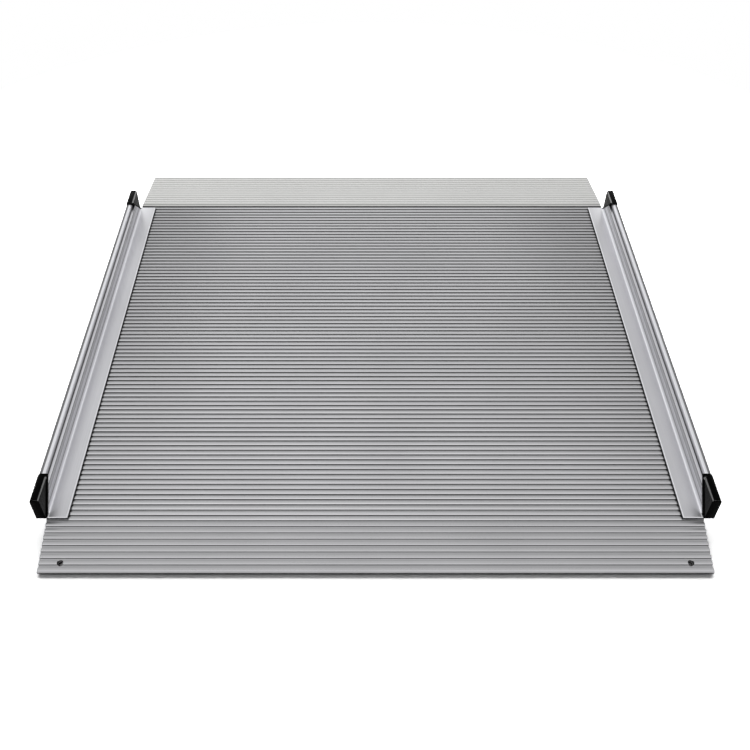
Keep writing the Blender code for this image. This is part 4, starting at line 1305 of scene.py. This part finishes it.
def screw_mesh(name, screw):
    """A button-headed screw about Z with a hexagon socket: its seat is at height 0."""
    dome = arc((0, 0), 1, DOME_START, math.pi / 2, CURVE_STEPS)
    crown = screw.head_height - HEAD_SHOULDER
    profile = [(0, screw.head_height, 0)]
    profile += [
        (screw.head_radius * point.across, HEAD_SHOULDER + crown * point.up, 0)
        for point in reversed(dome[:-1])
    ]
    profile += [
        (screw.head_radius, HEAD_RIM, 0),
        (screw.head_radius * HEAD_SEAT_SHARE, 0, 0),
        (screw.shank_radius, 0, 0),
        (screw.shank_radius, -screw.reach + screw.shank_radius / 2, 0),
        (screw.shank_radius / 2, -screw.reach, 0),
        (0, -screw.reach, 0),
    ]
    blank = add_object(name, spun(name, profile))
    work = bmesh.new()
    radius = SOCKET_ACROSS / math.sqrt(3) * MM
    bmesh.ops.create_cone(
        work, cap_ends=True, segments=SOCKET_SIDES, radius1=radius, radius2=radius,
        depth=2 * SOCKET_DEPTH * MM, matrix=Matrix.Translation((0, 0, screw.head_height * MM)),
    )
    combine(blank, [add_object("socket", finished_mesh(work, "socket"))])
    mesh = blank.data
    bpy.data.objects.remove(blank)
    return mesh


def add_screws(materials):
    """The rail screws and the hinge's end screws, each on its node's axis with its head outwards."""
    for kind, screw in SCREWS.items():
        mesh = screw_mesh(kind, screw)
        for node in frame["nodes"]:
            if node.startswith(kind):
                low, high = box_mm(node)
                side = 1 if high.x > 0 else -1
                seat = max(abs(low.x), abs(high.x)) - screw.head_height
                place = (side * seat, (low.y + high.y) / 2, (low.z + high.z) / 2)
                piece = add_object(f"{node}_turned", mesh.copy(), place, (0, side * math.pi / 2, 0))
                finish(piece, node, materials)


# Materials

class Graph:
    """The nodes of a material or of the world, with short ways to add and link them."""

    def __init__(self, owner, space="Object"):
        self.owner = owner
        owner.use_nodes = True
        self.tree = owner.node_tree
        self.place = self.add("ShaderNodeTexCoord").outputs[space]

    def feed(self, socket, value):
        """Link an output to a socket, or set the socket to a value."""
        if isinstance(value, bpy.types.NodeSocket):
            self.tree.links.new(value, socket)
        else:
            socket.default_value = value

    def add(self, kind, inputs=None, **settings):
        """A node with some of its settings, and what some of its inputs take, by name or number."""
        node = self.tree.nodes.new(kind)
        for setting, value in settings.items():
            setattr(node, setting, value)
        for socket, value in (inputs or {}).items():
            self.feed(node.inputs[socket], value)
        return node

    def attribute(self, name):
        """A number stored on the mesh's points."""
        return self.add("ShaderNodeAttribute", attribute_name=name).outputs["Fac"]

    def coordinate(self, axis):
        """One of the coordinates: metres for a material, part of a direction for the world."""
        return self.add("ShaderNodeSeparateXYZ", {"Vector": self.place}).outputs[axis]

    def noise(self, scale, detail=3.0, roughness=0.5):
        """Noise with a number of features in a metre, the same along each axis or one for each."""
        scales = scale if isinstance(scale, tuple) else (scale, scale, scale)
        stretched = self.add("ShaderNodeVectorMath", {0: self.place, 1: scales}, operation="MULTIPLY")
        inputs = {"Vector": stretched.outputs[0], "Scale": 1.0, "Detail": detail, "Roughness": roughness}
        return self.add("ShaderNodeTexNoise", inputs).outputs["Fac"]

    def spread(self, value, source, target=(0, 1), curve="LINEAR"):
        """A number taken from one range to another, held at its ends."""
        inputs = dict(enumerate((value, *source, *target)))
        return self.add("ShaderNodeMapRange", inputs, interpolation_type=curve).outputs["Result"]

    def step(self, value, place, width, target=(0, 1)):
        """A number that goes from one level to another over a width from a place, both in millimetres."""
        return self.spread(value, (place * MM, (place + width) * MM), target)

    def maths(self, operation, first, second=0.0):
        """A sum, product or the like of two numbers."""
        return self.add("ShaderNodeMath", {0: first, 1: second}, operation=operation).outputs["Value"]

    product = partialmethod(maths, "MULTIPLY")
    minus = partialmethod(maths, "SUBTRACT")
    larger = partialmethod(maths, "MAXIMUM")

    def blend(self, factor, first, second):
        """A mix of two colours, which are inputs 6 and 7 of the node."""
        inputs = {"Factor": factor, 6: first, 7: second}
        return self.add("ShaderNodeMix", inputs, data_type="RGBA").outputs[2]

    def mix_number(self, factor, first, second):
        """A mix of two numbers, which are inputs 2 and 3 of the node."""
        inputs = {"Factor": factor, 2: first, 3: second}
        return self.add("ShaderNodeMix", inputs, data_type="FLOAT").outputs[0]

    def bump(self, height, distance, strength):
        """A normal bent by relief of a real height in millimetres."""
        inputs = {"Strength": strength, "Distance": distance * MM, "Height": height}
        return self.add("ShaderNodeBump", inputs).outputs["Normal"]

    def shade(self, inputs):
        """Give inputs of the material's Principled shader an output or a plain value each."""
        for socket, value in inputs.items():
            self.feed(self.tree.nodes["Principled BSDF"].inputs[socket], value)
        return self.owner

    def ray(self, kind):
        """Whether light of a kind is being followed."""
        return self.add("ShaderNodeLightPath").outputs[kind]

    def reflected_ray(self):
        """Whether metal or glass shows this place."""
        return self.larger(self.ray("Is Glossy Ray"), self.ray("Is Transmission Ray"))

    def show(self, factor, first, second):
        """Mix two shader nodes, and make the mix what shows."""
        inputs = {"Fac": factor, 1: first.outputs[0], 2: second.outputs[0]}
        output = next(node for node in self.tree.nodes if node.bl_idname.startswith("ShaderNodeOutput"))
        self.feed(output.inputs["Surface"], self.add("ShaderNodeMixShader", inputs).outputs["Shader"])


def grey(value, tint=0.0):
    """A grey, a little bluer where the tint is above zero."""
    return (value, value, value * (1 + tint), 1.0)


def off_middle(graph):
    """How far a place on the deck lies from its middle line, in metres."""
    return graph.maths("ABSOLUTE", graph.coordinate("X"))


def beyond_flanges(graph):
    """How far a place on the deck lies outside the rectangle of either flange, in metres."""
    along = graph.coordinate("Y")
    inside = graph.minus(FLANGE_INNER * MM, off_middle(graph))
    before = graph.minus(RAIL_FRONT * MM, along)
    behind = graph.minus(along, RAIL_REAR * MM)
    return graph.larger(inside, graph.larger(before, behind))


def from_fixing_hole(graph):
    """How far a place on the lip lies from the axis of the nearer fixing hole, in metres."""
    x, y, z = fixing_hole_place(1)
    across = graph.minus(off_middle(graph), x * MM)
    behind = graph.minus(graph.coordinate("Y"), y * MM)
    above = graph.minus(graph.coordinate("Z"), z * MM)
    level_part = graph.product(behind, math.cos(LIP_SLOPE))
    up_slope = graph.maths("ADD", level_part, graph.product(above, math.sin(LIP_SLOPE)))
    squares = graph.maths("ADD", graph.product(across, across), graph.product(up_slope, up_slope))
    return graph.maths("SQRT", squares)


def groove_shade_and_dirt(graph, grime):
    """Painted shade, partly real soiling, by depth: dark on a groove's sides, lighter on its floor, and full
    painted shade in the deepest gaps.
    """
    depth = graph.attribute("depth")
    sides = graph.spread(depth, SHADED_DEPTHS, (0, grime))
    swept = graph.product(sides, graph.spread(depth, GROOVE_FLOOR_DEPTHS, (1.0, GROOVE_FLOOR_SHADE)))
    return graph.larger(swept, graph.spread(depth, PAINTED_SHADE_DEPTHS))


def flange_painted_shadow(graph):
    """A speckled painted shadow on the deck's top beside the flanges."""
    on_top = graph.step(graph.coordinate("Z"), DECK_TOP - RIB_DEPTH - FLANGE_SHADOW_DROP, FLANGE_SHADOW_DROP / 2)
    line = graph.step(beyond_flanges(graph), MASK_EDGE, FLANGE_SHADOW_FADE, (1, 0))
    speckled = graph.product(line, graph.spread(graph.noise(SPECKS), (0.3, 0.6), (1.0, 0.8)))
    return graph.product(on_top, speckled)


def fixing_hole_painted_shade(graph):
    """Painted shade in the countersinks of the fixing holes, lighter in their bores."""
    distance = from_fixing_hole(graph)
    sink = graph.step(distance, COUNTERSINK_RADIUS, MASK_EDGE, (1, 0))
    return graph.product(sink, graph.step(distance, FIXING_HOLE_RADIUS, MASK_EDGE, (BORE_SHADE, 1)))


def side_and_rear_painted_shade(graph):
    """Painted shade on the deck that darkens towards the kerbs and the rear."""
    along = graph.coordinate("Y")
    rail = (RAIL_FRONT * MM, RAIL_REAR * MM)
    by_kerb = graph.spread(off_middle(graph), (SIDE_SHADE_FROM * MM, FLANGE_INNER * MM), curve="SMOOTHSTEP")
    return graph.mix_number(
        by_kerb, graph.spread(along, rail, MIDDLE_SHADE), graph.spread(along, rail, SIDE_SHADE)
    )


def extruded_aluminium(name, metal):
    """Mill-finish aluminium: streaks along the extrusion, dull patches, edges worn bright and given painted
    highlights, and painted shade that is partly real soiling.

    The shade lies in the grooves. On the deck a painted shadow also lies by the flanges, painted shade in the
    fixing holes, and a thin painted shade over everything.
    """
    graph = Graph(bpy.data.materials.new(name))
    streaks = graph.noise(metal.streaks, detail=4.0, roughness=0.65)
    patches = graph.noise(PATCHES)
    grain = graph.noise(METAL_GRAIN, detail=2.0)

    dark, light = (metal.level * (1 + contrast) for contrast in (-STREAK_CONTRAST, STREAK_CONTRAST))
    plain = graph.blend(graph.spread(streaks, NOISE_RANGE), grey(dark, metal.tint), grey(light, metal.tint))
    dull = grey(metal.level * PATCH_LEVEL, metal.tint)
    mottled = graph.blend(graph.spread(patches, (0.35, 0.7), (0, 0.5)), plain, dull)
    highlight_and_worn_share = graph.product(graph.attribute("wear"), graph.spread(patches, (0.2, 0.8), (1.0, 0.75)))
    unshaded = graph.blend(highlight_and_worn_share, mottled, grey(metal.worn_level, metal.tint))

    shade_and_dirt = graph.product(groove_shade_and_dirt(graph, metal.grime), graph.spread(patches, NOISE_RANGE, (1.0, 0.88)))
    if metal.trodden:
        shade_and_dirt = graph.larger(shade_and_dirt, graph.larger(flange_painted_shadow(graph), fixing_hole_painted_shade(graph)))
        shade_and_dirt = graph.mix_number(side_and_rear_painted_shade(graph), shade_and_dirt, 1.0)
    low, high = (metal.roughness + change for change in ROUGHNESS_SPREAD)
    roughness = graph.spread(graph.mix_number(0.6, streaks, grain), NOISE_RANGE, (low, high))
    return graph.shade({
        "Base Color": graph.blend(shade_and_dirt, unshaded, grey(SHADE_AND_DIRT_COLOUR)),
        "Metallic": 1.0,
        "Roughness": graph.mix_number(shade_and_dirt, roughness, SHADE_AND_DIRT_ROUGHNESS),
        "Normal": graph.bump(graph.mix_number(0.35, streaks, grain), METAL_RELIEF, 0.6),
    })


def moulded_plastic(name):
    """Black moulded plastic with a fine grain, faint scuffs, and edges rubbed grey and shiny with a painted
    highlight.
    """
    graph = Graph(bpy.data.materials.new(name))
    scuffs = graph.noise(SCUFFS, detail=4.0, roughness=0.7)
    black = graph.blend(graph.spread(scuffs, (0.55, 0.8), (0, 0.6)), *map(grey, PLASTIC_GREYS))
    rubbed_and_highlight = graph.product(graph.attribute("wear"), graph.spread(scuffs, NOISE_RANGE, (1.0, 0.9)))
    return graph.shade({
        "Base Color": graph.blend(rubbed_and_highlight, black, grey(RUBBED_HIGHLIGHT_GREY)),
        "Roughness": graph.spread(scuffs, (0.35, 0.75), PLASTIC_ROUGHNESS),
        "Specular IOR Level": graph.mix_number(rubbed_and_highlight, *PLASTIC_SHINE),
        "Normal": graph.bump(graph.noise(PLASTIC_GRAIN, detail=2.0), PLASTIC_RELIEF, 0.5),
    })


def matt_rubber(name):
    """Black extruded rubber with a dusty bloom."""
    graph = Graph(bpy.data.materials.new(name))
    dust = graph.noise(DUST, detail=5.0, roughness=0.6)
    return graph.shade({
        "Base Color": graph.blend(graph.spread(dust, (0.4, 0.75), (0, 0.7)), *map(grey, RUBBER_GREYS)),
        "Roughness": graph.spread(dust, NOISE_RANGE, RUBBER_ROUGHNESS),
        "Normal": graph.bump(graph.noise(RUBBER_GRAIN, detail=2.0), RUBBER_RELIEF, 0.6),
    })


def plated_steel(name):
    """Zinc-plated steel with fine turning marks and a faint cloudiness."""
    graph = Graph(bpy.data.materials.new(name))
    clouds = graph.noise(CLOUDS)
    return graph.shade({
        "Base Color": graph.blend(graph.spread(clouds, (0.35, 0.7)), *map(grey, STEEL_GREYS, STEEL_TINTS)),
        "Metallic": 1.0,
        "Roughness": graph.spread(clouds, NOISE_RANGE, STEEL_ROUGHNESS),
        "Normal": graph.bump(graph.noise(TURNING_MARKS, detail=1.0), STEEL_RELIEF, 0.5),
    })


def make_materials():
    """One material for each slot of the record."""
    materials = {slot: extruded_aluminium(slot, metal) for slot, metal in METALS.items()}
    materials["cap_plastic"] = moulded_plastic("cap_plastic")
    materials["rubber"] = matt_rubber("rubber")
    materials["screw_steel"] = plated_steel("screw_steel")
    return materials


# Studio

def add_floor():
    """A matt floor that the camera sees white but for the ramp's shadow, and plain white far from it."""
    half = FLOOR_SIZE / 2
    corners = [(-half, -half, 0), (half, -half, 0), (half, half, 0), (-half, half, 0)]
    mesh = bpy.data.meshes.new("floor")
    mesh.from_pydata(corners, [], [(0, 1, 2, 3)])
    floor = add_object("studio_floor", mesh, (0, 0, -FLOOR_DROP))
    graph = Graph(bpy.data.materials.new("studio_floor"))
    graph.tree.nodes.remove(graph.tree.nodes["Principled BSDF"])
    camera_ray = graph.ray("Is Camera Ray")
    plain = graph.blend(graph.reflected_ray(), grey(FLOOR_COLOUR), grey(FLOOR_REFLECTED_COLOUR))
    colour = graph.blend(camera_ray, plain, grey(FLOOR_SEEN_COLOUR))
    distance = graph.add("ShaderNodeVectorMath", {0: graph.place}, operation="LENGTH").outputs["Value"]
    far = graph.spread(distance, (FLOOR_SHADOW_REACH, FLOOR_WHITE_FROM))
    matt = graph.add("ShaderNodeBsdfDiffuse", {"Color": colour})
    graph.show(graph.product(far, camera_ray), matt, graph.add("ShaderNodeEmission"))
    mesh.materials.append(graph.owner)


def sky_brightness(graph, height, stops):
    """The studio's brightness, from its levels at some heights of a direction."""
    ramp = graph.add("ShaderNodeValToRGB", {"Fac": height})
    elements = ramp.color_ramp.elements
    while len(elements) < len(stops):
        elements.new(0.5)
    for element, (position, level) in zip(elements, stops):
        element.position = position
        element.color = grey(level / SKY_BRIGHTEST)
    ramp.color_ramp.interpolation = "EASE"
    return ramp.outputs["Color"]


def add_world():
    """A pale studio all round: white for the camera, soft greys for metal, and dim for matt surfaces.

    It is a little dimmer to the right of the ramp, but not overhead.
    """
    world = bpy.data.worlds.new("studio")
    bpy.context.scene.world = world
    graph = Graph(world, "Generated")
    height = graph.coordinate("Z")
    behind = graph.spread(graph.coordinate("Y"), SKY_TURN, curve="SMOOTHSTEP")
    in_front_sky = sky_brightness(graph, height, SKY_IN_FRONT)
    sky = graph.blend(behind, in_front_sky, sky_brightness(graph, height, SKY_BEHIND))
    to_right = graph.spread(graph.coordinate("X"), SKY_TO_RIGHT, curve="SMOOTHSTEP")
    right_level = graph.spread(height, SKY_OVERHEAD, (SKY_RIGHT_LEVEL, 1.0))
    side_level = graph.mix_number(to_right, 1.0, right_level)
    strength = graph.spread(graph.reflected_ray(), (0, 1), (SKY_FILL * SKY_BRIGHTEST, SKY_BRIGHTEST))
    strength = graph.product(strength, side_level)
    studio = graph.add("ShaderNodeBackground", {"Color": sky, "Strength": strength})
    backdrop = graph.tree.nodes["Background"]
    graph.feed(backdrop.inputs["Color"], grey(1.0))
    graph.show(graph.ray("Is Camera Ray"), studio, backdrop)


def add_key_light():
    """A large soft lamp behind and above the ramp, which lays the soft shadow in front of the lip.

    Metal doesn't mirror it: the studio lights the metal.
    """
    lamp = bpy.data.lights.new("key", "AREA")
    lamp.shape = "RECTANGLE"
    lamp.size, lamp.size_y = KEY_SIZE
    lamp.energy = KEY_POWER
    key = bpy.data.objects.new("key", lamp)
    key.location = KEY_PLACE
    key.rotation_euler = (Vector(KEY_PLACE) - Vector(KEY_AIM)).to_track_quat("Z", "Y").to_euler()
    key.visible_glossy = False
    bpy.context.scene.collection.objects.link(key)


def add_camera():
    """The camera at the photograph's place, looking along the ramp and down."""
    camera = bpy.data.cameras.new("camera")
    camera.lens = CAMERA_LENS
    camera.sensor_width = CAMERA_SENSOR
    camera.shift_x, camera.shift_y = CAMERA_SHIFT
    camera.clip_start, camera.clip_end = CAMERA_CLIP
    holder = bpy.data.objects.new("camera", camera)
    holder.location = CAMERA_PLACE
    holder.rotation_euler = (math.radians(90 - CAMERA_BELOW_HORIZON), 0, 0)
    bpy.context.scene.collection.objects.link(holder)
    bpy.context.scene.camera = holder


add_camera()
all_materials = make_materials()
add_deck(all_materials)
add_flap(all_materials)
add_strips(all_materials)
add_kerbs(all_materials)
add_screws(all_materials)
add_floor()
add_world()
add_key_light()
bpy.context.scene.view_settings.view_transform = "Standard"
